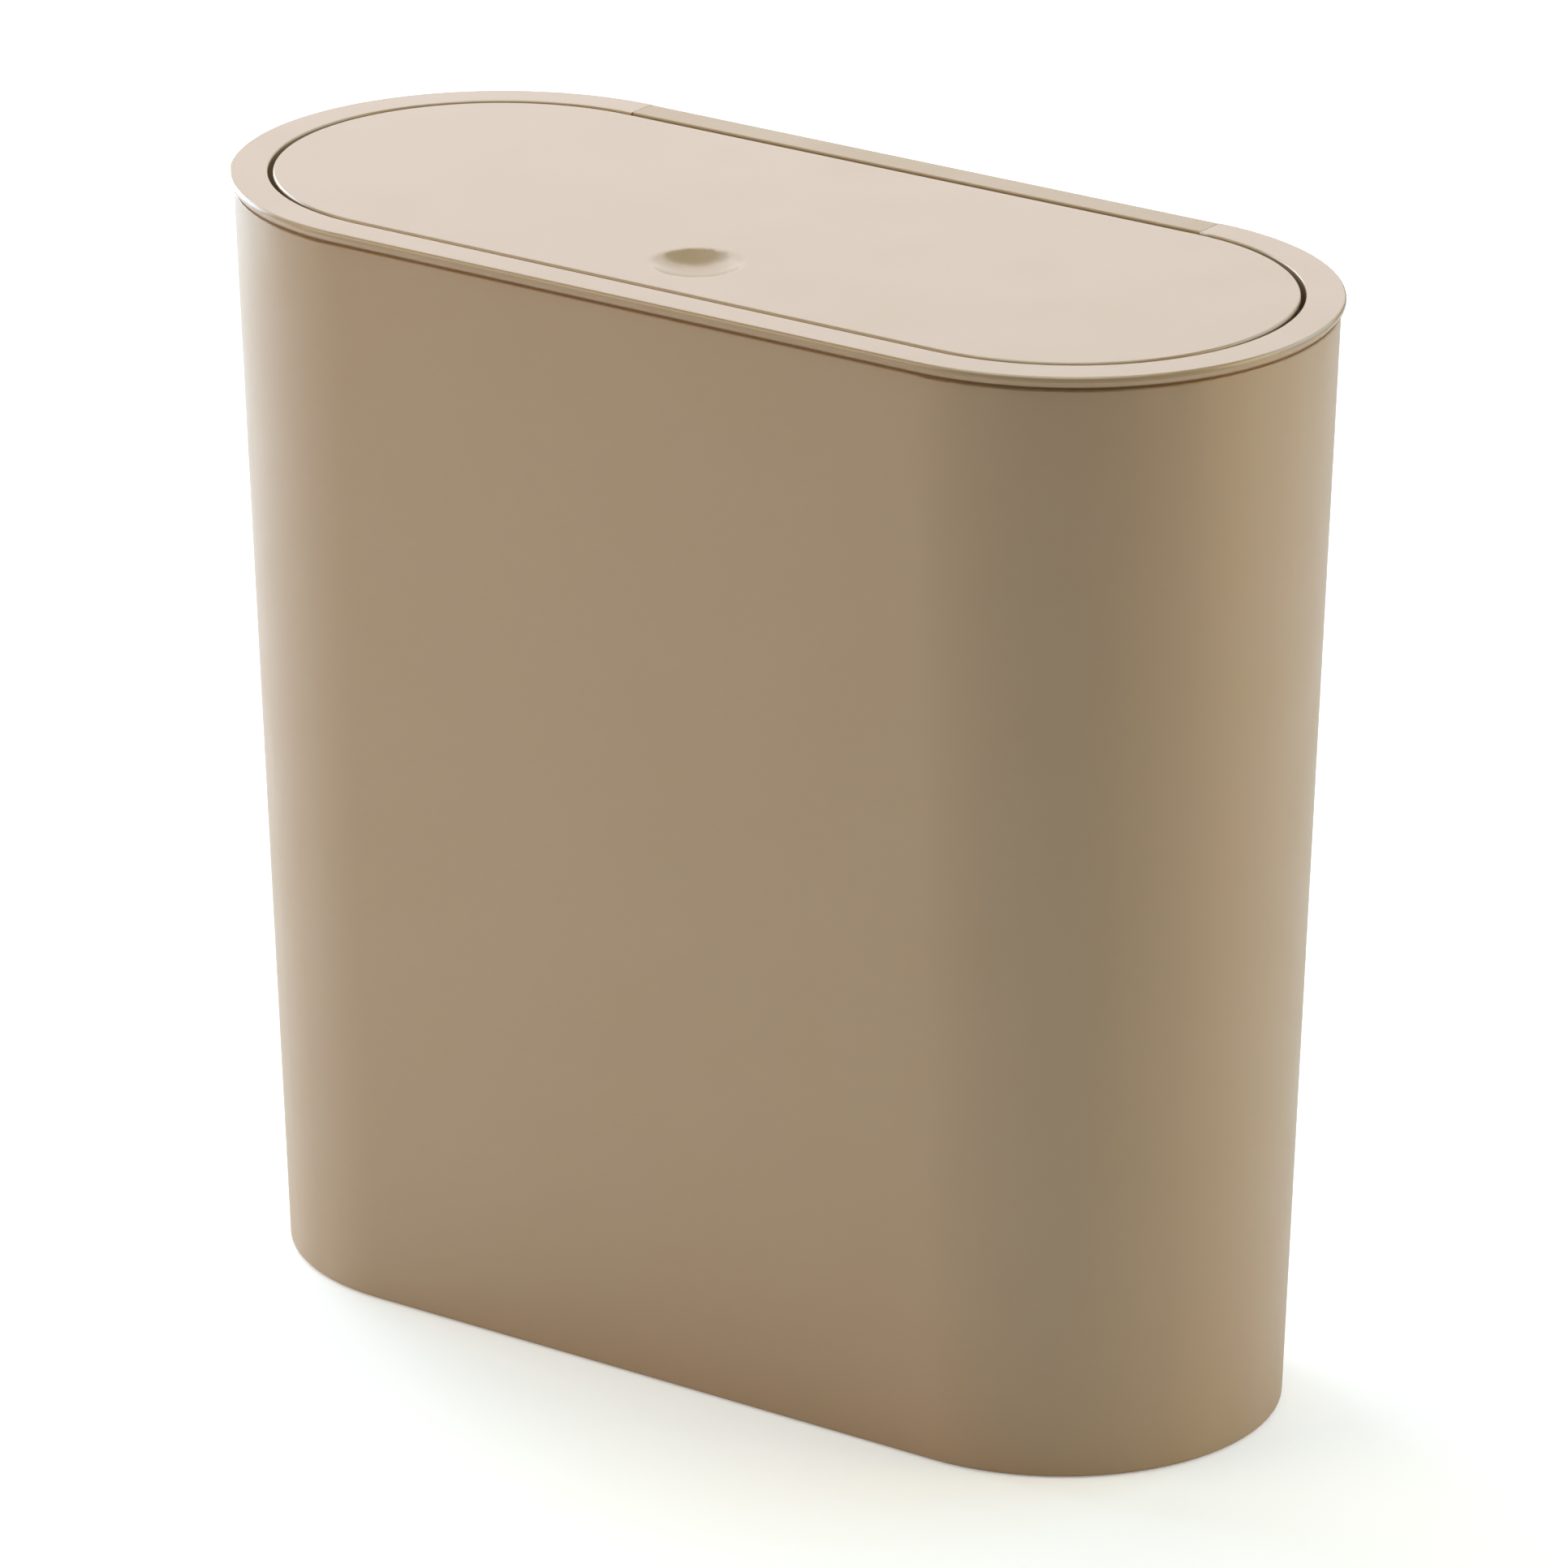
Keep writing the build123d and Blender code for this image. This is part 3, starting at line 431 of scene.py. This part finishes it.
class Finishes(Enum):
    """The finishes of the bin's pieces."""

    TUB = Moulding("tub_plastic", (0.559, 0.396, 0.254), (0.568, 0.393, 0.262), 0.40, gloss=0.9,
                   cloud_share=0.7, cloud_scale=16.0)
    TOP = Moulding("top_plastic", (0.560, 0.395, 0.255), (0.550, 0.390, 0.250), 0.225, gloss=0.9,
                   grain_scale=3200.0, grain_depth=0.00001, streak_share=0.1, dust=0.0, cloud_share=0.7, cloud_scale=20.0)
    STRIP = Moulding("top_plastic", (0.545, 0.385, 0.248), (0.538, 0.380, 0.244), 0.34, gloss=0.45,
                     grain_scale=3200.0, grain_depth=0.00001, streak_share=0.1, dust=0.0, variant="_strip")
    LINER = Moulding("liner_plastic", (0.545, 0.385, 0.250), (0.535, 0.375, 0.240), 0.36,
                     grain_depth=0.00001, dust=0.0)
    LATCH = Moulding("latch_plastic", (0.74, 0.72, 0.66), (0.70, 0.67, 0.60), 0.33,
                     grain_depth=0.000008, streak_share=0.0, dust=0.02)
    RUBBER = Moulding("pad_rubber", (0.10, 0.095, 0.09), (0.13, 0.12, 0.11), 0.75,
                      grain_scale=5000.0, grain_depth=0.00003, streak_share=0.0, dust=0.3)
    SPRING = Steel("spring_steel", (0.50, 0.50, 0.51), (0.42, 0.40, 0.38), 0.20)
    PIN = Steel("pin_steel", (0.62, 0.62, 0.63), (0.55, 0.55, 0.56), 0.18)
    SCREW = Steel("screw_steel", (0.60, 0.60, 0.60), (0.62, 0.58, 0.48), 0.20)

    def material(self) -> bpy.types.Material:
        """Return this finish's material."""
        return self.value.material()

    def slot(self) -> str:
        """Return the record's material slot of this finish."""
        return self.value.name


# ---------------------------------------------------------------- mesh tools


def deselect() -> None:
    """Deselect every object and leave edit mode."""
    if bpy.context.object and bpy.context.object.mode != "OBJECT":
        bpy.ops.object.mode_set(mode="OBJECT")
    bpy.ops.object.select_all(action="DESELECT")


def pick(piece: bpy.types.Object) -> None:
    """Make a piece the only selected object, and the active one."""
    deselect()
    piece.select_set(True)
    bpy.context.view_layer.objects.active = piece


def smooth_copy(node: str, name: str, angle: float = 30.0) -> bpy.types.Object:
    """Copy a CAD node's mesh, merge its loose triangles and shade it smooth.

    Args:
        node: The CAD node.
        name: The new piece's name.
        angle: Edges sharper than this stay sharp, in degrees.

    Returns:
        The new piece.
    """
    source = bpy.data.objects[node]
    piece = bpy.data.objects.new(name, source.data.copy())
    bpy.context.scene.collection.objects.link(piece)
    pick(piece)
    bpy.ops.object.mode_set(mode="EDIT")
    bpy.ops.mesh.select_all(action="SELECT")
    bpy.ops.mesh.remove_doubles(threshold=1e-6)
    bpy.ops.mesh.dissolve_limited(angle_limit=math.radians(0.2))
    bpy.ops.mesh.tris_convert_to_quads(face_threshold=math.radians(1), shape_threshold=math.radians(40))
    bpy.ops.object.mode_set(mode="OBJECT")
    soften(piece, angle)
    return piece


def soften(piece: bpy.types.Object, angle: float = 30.0) -> None:
    """Shade a piece smooth up to an angle, with its large faces flat.

    Args:
        piece: The piece.
        angle: Edges sharper than this stay sharp, in degrees.
    """
    pick(piece)
    bpy.ops.object.shade_smooth_by_angle(angle=math.radians(angle))
    weigh = piece.modifiers.new("flat_faces", "WEIGHTED_NORMAL")
    weigh.keep_sharp = True
    weigh.weight = 100
    bpy.ops.object.modifier_apply(modifier=weigh.name)


def dress(piece: bpy.types.Object, finish: Finishes) -> None:
    """Give a piece one finish all over.

    Args:
        piece: The piece.
        finish: Its finish.
    """
    piece.data.materials.clear()
    piece.data.materials.append(finish.material())


def hang(piece: bpy.types.Object, body: str, finish: Finishes, *nodes: str) -> None:
    """Ride a piece on a body and let it stand for CAD nodes.

    Args:
        piece: The piece.
        body: The body it moves with.
        finish: Not used.
        *nodes: The CAD nodes it stands for.
    """
    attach(piece, body)
    if nodes:
        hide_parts(*nodes)
    LOG.info("%s rides on %s", piece.name, body)


def choose(piece: bpy.types.Object, kind: str, test: Callable[[Vector, Vector], bool]) -> None:
    """Select a piece's faces or points by their place, and stay in edit mode.

    Args:
        piece: The piece.
        kind: FACE or VERT.
        test: Says whether one is taken, from its middle and its normal.
    """
    pick(piece)
    bpy.ops.object.mode_set(mode="EDIT")
    bpy.ops.mesh.select_mode(type=kind)
    bpy.ops.mesh.select_all(action="DESELECT")
    bpy.ops.object.mode_set(mode="OBJECT")
    if kind == "FACE":
        for face in piece.data.polygons:
            face.select = test(face.center, face.normal)
    else:
        for point in piece.data.vertices:
            point.select = test(point.co, point.normal)
    bpy.ops.object.mode_set(mode="EDIT")


def close_up(piece: bpy.types.Object) -> None:
    """Close a piece's open ends and turn its faces outwards, from edit mode."""
    bpy.ops.mesh.select_all(action="SELECT")
    bpy.ops.mesh.remove_doubles(threshold=1e-7)
    bpy.ops.mesh.fill_holes(sides=0)
    bpy.ops.mesh.select_all(action="SELECT")
    bpy.ops.mesh.normals_make_consistent(inside=False)
    bpy.ops.object.mode_set(mode="OBJECT")


def settle(piece: bpy.types.Object) -> None:
    """Put a piece's place and turn into its mesh, so that its object sits at the origin."""
    pick(piece)
    bpy.ops.object.transform_apply(location=True, rotation=True, scale=True)


def apply_modifier(piece: bpy.types.Object, name: str) -> None:
    """Apply one of a piece's modifiers."""
    pick(piece)
    bpy.ops.object.modifier_apply(modifier=name)


def cut(piece: bpy.types.Object, cutter: bpy.types.Object) -> None:
    """Cut a closed shape out of a piece and delete the cutter.

    Args:
        piece: The piece.
        cutter: The shape that is taken away.
    """
    saw = piece.modifiers.new("saw", "BOOLEAN")
    saw.operation, saw.solver, saw.object = "DIFFERENCE", "EXACT", cutter
    apply_modifier(piece, saw.name)
    bpy.data.objects.remove(cutter)


def join(pieces: list[bpy.types.Object], name: str) -> bpy.types.Object:
    """Join pieces to one.

    Args:
        pieces: What is joined. The first one takes the others in.
        name: The joined piece's name.

    Returns:
        The joined piece.
    """
    pick(pieces[0])
    for piece in pieces[1:]:
        piece.select_set(True)
    if len(pieces) > 1:
        bpy.ops.object.join()
    pieces[0].name = name
    return pieces[0]


# ---------------------------------------------------------------- sub-assemblies


@dataclass
class CarriedPieces:
    """CAD nodes whose shape is right, smoothed and dressed.

    Attributes:
        rows: Node, body and finish of each.
    """

    rows: list[tuple[str, str, Finishes]] = field(default_factory=list)

    def build(self) -> None:
        """Copy, smooth and dress each node."""
        for node, body, finish in self.rows:
            piece = smooth_copy(node, node + "_skin")
            dress(piece, finish)
            hang(piece, body, finish, node)


@dataclass
class LidPanel:
    """The flush lid with its finger dimple, eased to the photo's shallower bowl.

    Attributes:
        dimple_y: The dimple's middle, in mm as all its sizes.
        dimple_radius: Out to the end of its soft edge.
        top: Height of the lid's face.
        deepest: How far below the face the bowl's points are looked for.
        depth_share: The bowl's depth as a share of the CAD node's.
    """

    dimple_y: float = -35.3
    dimple_radius: float = 13.4
    top: float = 300.0
    deepest: float = 4.3
    depth_share: float = 0.8

    def in_bowl(self, place: Vector, normal: Vector) -> bool:
        """Say whether a point of the panel belongs to the bowl's face.

        Args:
            place: The point.
            normal: Its normal.

        Returns:
            True where it does.
        """
        reach = math.hypot(place.x, place.y - self.dimple_y * MM)
        return reach < self.dimple_radius * MM and normal.z > 0.3 and place.z > (self.top - self.deepest) * MM

    def build(self) -> None:
        """Copy the panel, ease its bowl and dress it."""
        piece = smooth_copy("lid_panel", "lid_panel_skin")
        choose(piece, "VERT", self.in_bowl)
        bpy.ops.transform.resize(value=(1.0, 1.0, self.depth_share),
                                 center_override=(0.0, self.dimple_y * MM, self.top * MM))
        bpy.ops.object.mode_set(mode="OBJECT")
        soften(piece)
        dress(piece, Finishes.TOP)
        hang(piece, "lid", Finishes.TOP, "lid_panel")


@dataclass
class PanScrew:
    """A pan-head screw with a cross recess, modelled head up with its seat at height nought.

    Attributes:
        head_radius: Radius of its head, in mm as all its sizes.
        head_height: Height of its head.
        shank_radius: Outer radius of its thread.
        length: Length under the head.
        pitch: Pitch of its thread.
        core_share: The core's radius as a share of the thread's.
        tip: Length of its tapered tip.
        sides: Sides of its round forms.
    """

    head_radius: float
    head_height: float
    shank_radius: float
    length: float
    pitch: float = 0.8
    core_share: float = 0.78
    tip: float = 0.9
    sides: int = 32

    def blank(self) -> bpy.types.Object:
        """Model the domed head, the core and its tip.

        Returns:
            The blank.
        """
        head, high = self.head_radius * MM, self.head_height * MM
        core = self.shank_radius * self.core_share * MM
        deselect()
        bpy.ops.mesh.primitive_cylinder_add(vertices=self.sides, radius=head, depth=high,
                                            location=(0, 0, high / 2))
        blank = bpy.context.object
        settle(blank)
        choose(blank, "FACE", lambda middle, normal: normal.z > 0.9)
        bpy.ops.mesh.bevel(offset=high * 0.62, segments=6, profile=0.62, affect="EDGES")
        choose(blank, "FACE", lambda middle, normal: normal.z < -0.9)
        bpy.ops.mesh.bevel(offset=high * 0.08, segments=2, affect="EDGES")
        choose(blank, "FACE", lambda middle, normal: normal.z < -0.99 and middle.z < high * 0.01)
        bpy.ops.mesh.inset(thickness=head - high * 0.08 - core)
        run = (self.length - self.tip) * MM
        bpy.ops.mesh.extrude_region_move(TRANSFORM_OT_translate={"value": (0, 0, -run)})
        bpy.ops.mesh.extrude_region_move(TRANSFORM_OT_translate={"value": (0, 0, -self.tip * MM)})
        bpy.ops.transform.resize(value=(0.35, 0.35, 1.0))
        bpy.ops.object.mode_set(mode="OBJECT")
        return blank

    def recess(self, blank: bpy.types.Object) -> None:
        """Sink the tapered cross recess into the head.

        Args:
            blank: The screw's blank.
        """
        high = self.head_height * MM
        for turn in (0.0, math.pi / 2):
            deselect()
            bpy.ops.mesh.primitive_cube_add(size=1.0, location=(0, 0, high), rotation=(0, 0, turn),
                                            scale=(self.head_radius * 1.1 * MM, self.head_radius * 0.24 * MM,
                                                   high * 1.3))
            blade = bpy.context.object
            settle(blade)
            choose(blade, "FACE", lambda middle, normal: normal.z < -0.9)
            bpy.ops.transform.resize(value=(0.45, 0.45, 1.0))
            bpy.ops.object.mode_set(mode="OBJECT")
            cut(blank, blade)

    def thread(self) -> bpy.types.Object:
        """Wind the thread's ridge round the core.

        Returns:
            The ridge.
        """
        outer = self.shank_radius * MM
        depth = outer * (1 - self.core_share) / 1.5
        deselect()
        bpy.ops.mesh.primitive_circle_add(vertices=3, radius=depth, fill_type="NOTHING",
                                          location=(outer - depth, 0, -self.pitch * MM),
                                          rotation=(math.pi / 2, math.pi / 2, 0))
        ridge = bpy.context.object
        settle(ridge)
        turns = max(1, int((self.length - self.tip) / self.pitch) - 1)
        wind = ridge.modifiers.new("wind", "SCREW")
        wind.axis, wind.angle, wind.iterations = "Z", 2 * math.pi, turns
        wind.screw_offset = -self.pitch * MM
        wind.steps = wind.render_steps = self.sides
        apply_modifier(ridge, wind.name)
        bpy.ops.object.mode_set(mode="EDIT")
        close_up(ridge)
        return ridge

    def build(self) -> bpy.types.Object:
        """Model the whole screw.

        Returns:
            The screw, head up at the origin.
        """
        blank = self.blank()
        self.recess(blank)
        return join([blank, self.thread()], "pan_screw")


class Facing(Enum):
    """Which way a screw's head looks, as a turn about X."""

    DOWN = math.pi
    REAR = -math.pi / 2


@dataclass
class ScrewSet:
    """The screws of one CAD node, each a copy of one model.

    Attributes:
        node: The CAD node that they stand for.
        body: The body that they ride on.
        screw: The model.
        facing: Which way the heads look.
        seats: Where each head's underside sits, in mm.
    """

    node: str
    body: str
    screw: PanScrew
    facing: Facing
    seats: list[tuple[float, float, float]]

    def build(self) -> None:
        """Model one screw, copy it to every seat, and dress them all."""
        model = self.screw.build()
        placed = []
        for number, seat in enumerate(self.seats):
            copy = model.copy()
            copy.data = model.data.copy()
            bpy.context.scene.collection.objects.link(copy)
            # Each screw was driven until it was tight, so no two crosses line up
            copy.matrix_world = (Matrix.Translation(Vector(seat) * MM)
                                 @ Matrix.Rotation(self.facing.value, 4, "X")
                                 @ Matrix.Rotation(1.1 * number + 0.4, 4, "Z"))
            bpy.context.view_layer.update()
            settle(copy)
            placed.append(copy)
        bpy.data.objects.remove(model)
        piece = join(placed, self.node + "_driven")
        soften(piece, 35.0)
        dress(piece, Finishes.SCREW)
        hang(piece, self.body, Finishes.SCREW, self.node)


@dataclass
class TorsionSpring:
    """A lid spring: a close coil round the hinge pin with a hooked leg at each end.

    Attributes:
        side: -1 at the left, 1 at the right.
        start_x: The coil's outer end, in mm as all its sizes.
        axis_y: The hinge axis.
        axis_z: The hinge axis.
        wire: Radius of the wire.
        radius: From the axis to the wire's middle.
        pitch: Advance of a whole turn.
        half_turns: Half turns in the coil.
        drop: Length of each leg down to its bend.
        bend: Radius of the bend.
        reach: Length of each hook.
    """

    side: int
    start_x: float = 61.6
    axis_y: float = 62.2
    axis_z: float = 296.3
    wire: float = 0.45
    radius: float = 1.9
    pitch: float = 1.65
    half_turns: int = 9
    drop: float = 3.2
    bend: float = 1.0
    reach: float = 3.4

    def leg(self, piece: bpy.types.Object, x: float, y: float, way: int) -> None:
        """Draw one leg out of an open end of the coil.

        Args:
            piece: The coil.
            x: The end's place along the coil, in metres.
            y: The end's place across it.
            way: 1 where the hook turns to the bin's end, -1 where it turns to its middle.
        """
        across = way * self.side
        choose(piece, "VERT", lambda place, normal: abs(place.z) < 1e-6 and abs(place.x - x) < self.wire * 1.2 * MM
               and abs(place.y - y) < self.wire * 1.2 * MM)
        bpy.ops.mesh.extrude_region_move(TRANSFORM_OT_translate={"value": (0, 0, -self.drop * MM)})
        bpy.ops.mesh.spin(steps=6, angle=across * math.pi / 2, axis=(0, 1, 0),
                          center=(x + across * self.bend * MM, y, -self.drop * MM))
        bpy.ops.mesh.extrude_region_move(TRANSFORM_OT_translate={"value": (across * self.reach * MM, 0, 0)})
        bpy.ops.object.mode_set(mode="OBJECT")

    def build(self) -> None:
        """Wind the coil, draw its legs and set it on its pin."""
        label = "left" if self.side < 0 else "right"
        advance = -self.side * self.pitch / 2 * self.half_turns * MM
        deselect()
        bpy.ops.mesh.primitive_circle_add(vertices=20, radius=self.wire * MM, fill_type="NOTHING",
                                          location=(0, self.radius * MM, 0))
        piece = bpy.context.object
        settle(piece)
        wind = piece.modifiers.new("wind", "SCREW")
        wind.axis, wind.angle, wind.iterations = "X", math.pi * self.half_turns, 1
        wind.screw_offset = advance
        wind.steps = wind.render_steps = 12 * self.half_turns
        apply_modifier(piece, wind.name)
        self.leg(piece, 0.0, self.radius * MM, 1)
        self.leg(piece, advance, -self.radius * MM, -1)
        bpy.ops.object.mode_set(mode="EDIT")
        close_up(piece)
        piece.location = Vector((self.side * self.start_x, self.axis_y, self.axis_z)) * MM
        settle(piece)
        piece.name = f"torsion_spring_{label}_wound"
        soften(piece, 50.0)
        dress(piece, Finishes.SPRING)
        hang(piece, "bin", Finishes.SPRING, f"torsion_spring_{label}")


@dataclass
class LatchSpring:
    """The compression spring under the latch's slider.

    Attributes:
        middle: Its lower end's middle, in mm as all its sizes.
        wire: Radius of the wire.
        radius: From the axis to the wire's middle.
        height: From the lowest wire's middle to the highest one's.
        half_turns: Half turns in the coil.
    """

    middle: tuple[float, float, float] = (0.0, -49.0, 256.45)
    wire: float = 0.4
    radius: float = 2.0
    height: float = 7.1
    half_turns: int = 8

    def build(self) -> None:
        """Wind the coil and set it on its post."""
        deselect()
        bpy.ops.mesh.primitive_circle_add(vertices=20, radius=self.wire * MM, fill_type="NOTHING",
                                          location=(self.radius * MM, 0, 0), rotation=(math.pi / 2, 0, 0))
        piece = bpy.context.object
        settle(piece)
        wind = piece.modifiers.new("wind", "SCREW")
        wind.axis, wind.angle, wind.iterations = "Z", math.pi * self.half_turns, 1
        wind.screw_offset = self.height * MM
        wind.steps = wind.render_steps = 12 * self.half_turns
        apply_modifier(piece, wind.name)
        bpy.ops.object.mode_set(mode="EDIT")
        close_up(piece)
        piece.location = Vector(self.middle) * MM
        settle(piece)
        piece.name = "latch_spring_wound"
        soften(piece, 50.0)
        dress(piece, Finishes.SPRING)
        hang(piece, "bin", Finishes.SPRING, "latch_spring")


@dataclass
class GateMark:
    """The moulding's gate mark, in the middle of the tub's underside.

    Attributes:
        height: The underside's height, in mm as all its sizes.
        radius: Radius of the shallow disc.
        depth: How far the disc stands out.
        nub_radius: Radius of the broken sprue in its middle.
        nub_depth: How far the nub stands out.
    """

    height: float = 2.0
    radius: float = 5.0
    depth: float = 0.35
    nub_radius: float = 1.3
    nub_depth: float = 0.5

    def build(self) -> None:
        """Model the disc and its nub."""
        deselect()
        bpy.ops.mesh.primitive_cylinder_add(vertices=48, radius=self.radius * MM, depth=self.depth * MM,
                                            location=(0, 0, (self.height - self.depth / 2) * MM))
        piece = bpy.context.object
        settle(piece)
        choose(piece, "FACE", lambda middle, normal: normal.z < -0.9)
        bpy.ops.mesh.bevel(offset=self.depth * 0.6 * MM, segments=3, affect="EDGES")
        choose(piece, "FACE", lambda middle, normal: normal.z < -0.99)
        bpy.ops.mesh.inset(thickness=(self.radius * 0.25) * MM)
        bpy.ops.transform.translate(value=(0, 0, self.depth * 0.5 * MM))
        bpy.ops.mesh.inset(thickness=(self.radius * 0.7 - self.nub_radius) * MM)
        bpy.ops.mesh.extrude_region_move(TRANSFORM_OT_translate={"value": (0, 0, -self.nub_depth * MM)})
        bpy.ops.transform.resize(value=(0.8, 0.8, 1.0))
        bpy.ops.object.mode_set(mode="OBJECT")
        piece.name = "tub_gate_mark"
        soften(piece, 35.0)
        dress(piece, Finishes.TUB)
        hang(piece, "bin", Finishes.TUB)


@dataclass
class Studio:
    """Floor, lights and camera.

    Attributes:
        azimuth: The camera's turn to the right of straight ahead, in degrees.
        elevation: Its height angle, in degrees.
        distance: How far it stands from what it looks at.
        lens: Its focal length on a 36 mm sensor, in mm.
        target_height: Height of the point that the frame is centred about.
        slide_right: How far the frame's centre is to the right of that point.
        slide_up: How far the frame's centre is above it.
    """

    azimuth: float = 35.48
    elevation: float = 20.63
    distance: float = 2.7006
    lens: float = 237.86
    target_height: float = 0.150
    slide_right: float = 0.001703
    slide_up: float = -0.001795

    def camera(self) -> None:
        """Stand the camera where the photograph was taken from."""
        turn, lift = math.radians(self.azimuth), math.radians(self.elevation)
        right = Vector((math.cos(turn), math.sin(turn), 0.0))
        back = Vector((math.sin(turn) * math.cos(lift), -math.cos(turn) * math.cos(lift), math.sin(lift)))
        above = back.cross(right)
        target = Vector((0, 0, self.target_height)) + right * self.slide_right + above * self.slide_up
        data = bpy.data.cameras.new("photo_camera")
        data.lens, data.sensor_width = self.lens, 36.0
        data.clip_start, data.clip_end = 0.05, 60.0
        lens = bpy.data.objects.new("photo_camera", data)
        bpy.context.scene.collection.objects.link(lens)
        turned = Matrix((right, above, back)).transposed().to_4x4()
        lens.matrix_world = Matrix.Translation(target + back * self.distance) @ turned
        bpy.context.scene.camera = lens

    def floor(self) -> None:
        """Lay the pale floor."""
        deselect()
        bpy.ops.mesh.primitive_plane_add(size=16.0, location=(0, 0, -0.0002))
        plane = bpy.context.object
        plane.name = "floor"
        made = bpy.data.materials.new("floor_paper")
        made.use_nodes = True
        wiring = Wiring(made.node_tree)
        shader = made.node_tree.nodes["Principled BSDF"]
        shader.inputs["Roughness"].default_value = 0.9
        shader.inputs["Specular IOR Level"].default_value = 0.1
        place = wiring.add("TexCoord").outputs["Object"]
        tone = wiring.levels(wiring.noise(place, 3.0, 2.0), 0.3, 0.7, 0.90, 0.93)
        paper = wiring.add("CombineColor")
        for channel in paper.inputs:
            wiring.link(tone, channel)
        wiring.link(paper.outputs[0], shader.inputs["Base Color"])
        seen = wiring.add("LightPath")
        glow = wiring.math("MULTIPLY", seen.outputs["Is Camera Ray"], 0.35)
        shader.inputs["Emission Color"].default_value = (1.0, 1.0, 1.0, 1.0)
        wiring.link(glow, shader.inputs["Emission Strength"])
        plane.data.materials.append(made)

    def lamp(self, name: str, turn: float, lift: float, away: float, size: Point, power: float,
             colour: Colour, aim: Vector = Vector((0, 0, 0.16))) -> None:
        """Hang one soft box.

        Args:
            name: The lamp's name.
            turn: Its azimuth, 0 in front and 90 to the right, in degrees.
            lift: Its height angle, in degrees.
            away: Its distance.
            size: Its width and height.
            power: Its power in watts.
            colour: Its colour.
            aim: Where it looks.
        """
        data = bpy.data.lights.new(name, "AREA")
        data.shape, data.size, data.size_y = "RECTANGLE", size[0], size[1]
        data.energy, data.color = power, colour
        lamp = bpy.data.objects.new(name, data)
        bpy.context.scene.collection.objects.link(lamp)
        across, high = math.radians(turn), math.radians(lift)
        back = Vector((math.sin(across) * math.cos(high), -math.cos(across) * math.cos(high), math.sin(high)))
        lamp.location = aim + back * away
        lamp.rotation_euler = (-back).to_track_quat("-Z", "Y").to_euler()
        lamp.visible_camera = False

    def world(self, strength: float, seen: float) -> None:
        """Fill the room with soft light.

        Args:
            strength: The light it gives.
            seen: How bright the camera sees it.
        """
        world = bpy.data.worlds.new("soft_room")
        world.use_nodes = True
        bpy.context.scene.world = world
        wiring = Wiring(world.node_tree)
        sky = world.node_tree.nodes["Background"]
        sky.inputs["Color"].default_value = (1.0, 0.985, 0.96, 1.0)
        path = wiring.add("LightPath")
        wiring.link(wiring.levels(path.outputs["Is Camera Ray"], 0.0, 1.0, strength, seen),
                    sky.inputs["Strength"])

    def build(self) -> None:
        """Set the whole stage."""
        self.floor()
        self.world(0.01, 1.0)
        self.lamp("high_left_box", -128.0, 45.0, 1.7, (1.2, 0.7), 1.15, (1.0, 0.783, 0.74))
        self.lamp("back_left_box", -145.0, 28.0, 1.7, (2.0, 1.2), 11.5, (0.98, 0.94, 1.0))
        self.lamp("left_box", -100.0, 35.0, 1.6, (1.2, 1.2), 3.44, (0.425, 0.712, 1.0))
        self.lamp("low_left_box", -100.0, 12.0, 1.6, (1.2, 1.0), 23.39, (0.673, 0.845, 1.0))
        self.lamp("front_left_box", -40.0, 25.0, 1.8, (1.2, 1.2), 10.13, (1.0, 0.794, 0.538))
        self.lamp("top_box", 10.0, 86.0, 1.6, (1.2, 1.0), 10.98, (0.838, 1.0, 0.944))
        self.lamp("right_box", 112.0, 18.0, 1.6, (0.8, 1.2), 8.66, (1.0, 0.815, 0.476))
        self.lamp("back_right_box", 150.0, 30.0, 1.7, (1.2, 1.2), 10.05, (0.507, 0.788, 1.0))
        self.camera()
        bpy.context.scene.view_settings.view_transform = "Standard"


def main() -> None:
    """Build every sub-assembly in order and report it."""
    logging.basicConfig(level=logging.INFO, format="%(name)s: %(message)s")
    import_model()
    CarriedPieces([
        ("tub", "bin", Finishes.TUB),
        ("lid_frame", "bin", Finishes.TOP),
        ("hinge_cover", "bin", Finishes.STRIP),
        ("closing_pads", "bin", Finishes.RUBBER),
        ("latch_case", "bin", Finishes.LATCH),
        ("latch_cover", "bin", Finishes.LATCH),
        ("hinge_pin_left", "hinge_pins", Finishes.PIN),
        ("hinge_pin_right", "hinge_pins", Finishes.PIN),
        ("lid_liner", "lid", Finishes.LINER),
        ("latch_striker", "lid", Finishes.LATCH),
        ("latch_slider", "slider", Finishes.LATCH),
        ("latch_claws", "slider", Finishes.LATCH),
        ("latch_cam_pin", "cam_pin", Finishes.SPRING),
    ]).build()
    LidPanel().build()
    GateMark().build()
    for side in (-1, 1):
        TorsionSpring(side).build()
    LatchSpring().build()
    ScrewSet("lid_screws", "lid", PanScrew(2.5, 1.7, 1.25, 4.1), Facing.DOWN,
             [(100, 0, 293.9), (-100, 0, 293.9), (45, 30, 293.9), (45, -30, 293.9), (-45, 30, 293.9),
              (-45, -30, 293.9)]).build()
    ScrewSet("cover_screws", "bin", PanScrew(1.9, 1.4, 0.9, 6.0, pitch=0.6), Facing.DOWN,
             [(-81, 62.6, 287.8), (-22, 62.6, 287.8), (22, 62.6, 287.8), (81, 62.6, 287.8)]).build()
    ScrewSet("striker_screws", "lid", PanScrew(2.0, 1.4, 1.1, 6.0), Facing.DOWN,
             [(-7, -49, 290.2), (7, -49, 290.2)]).build()
    ScrewSet("latch_screws", "bin", PanScrew(2.7, 1.8, 1.45, 6.5), Facing.REAR,
             [(-12, -52.8, 271), (12, -52.8, 271)]).build()
    Studio().build()


if __name__ == "__main__":
    main()
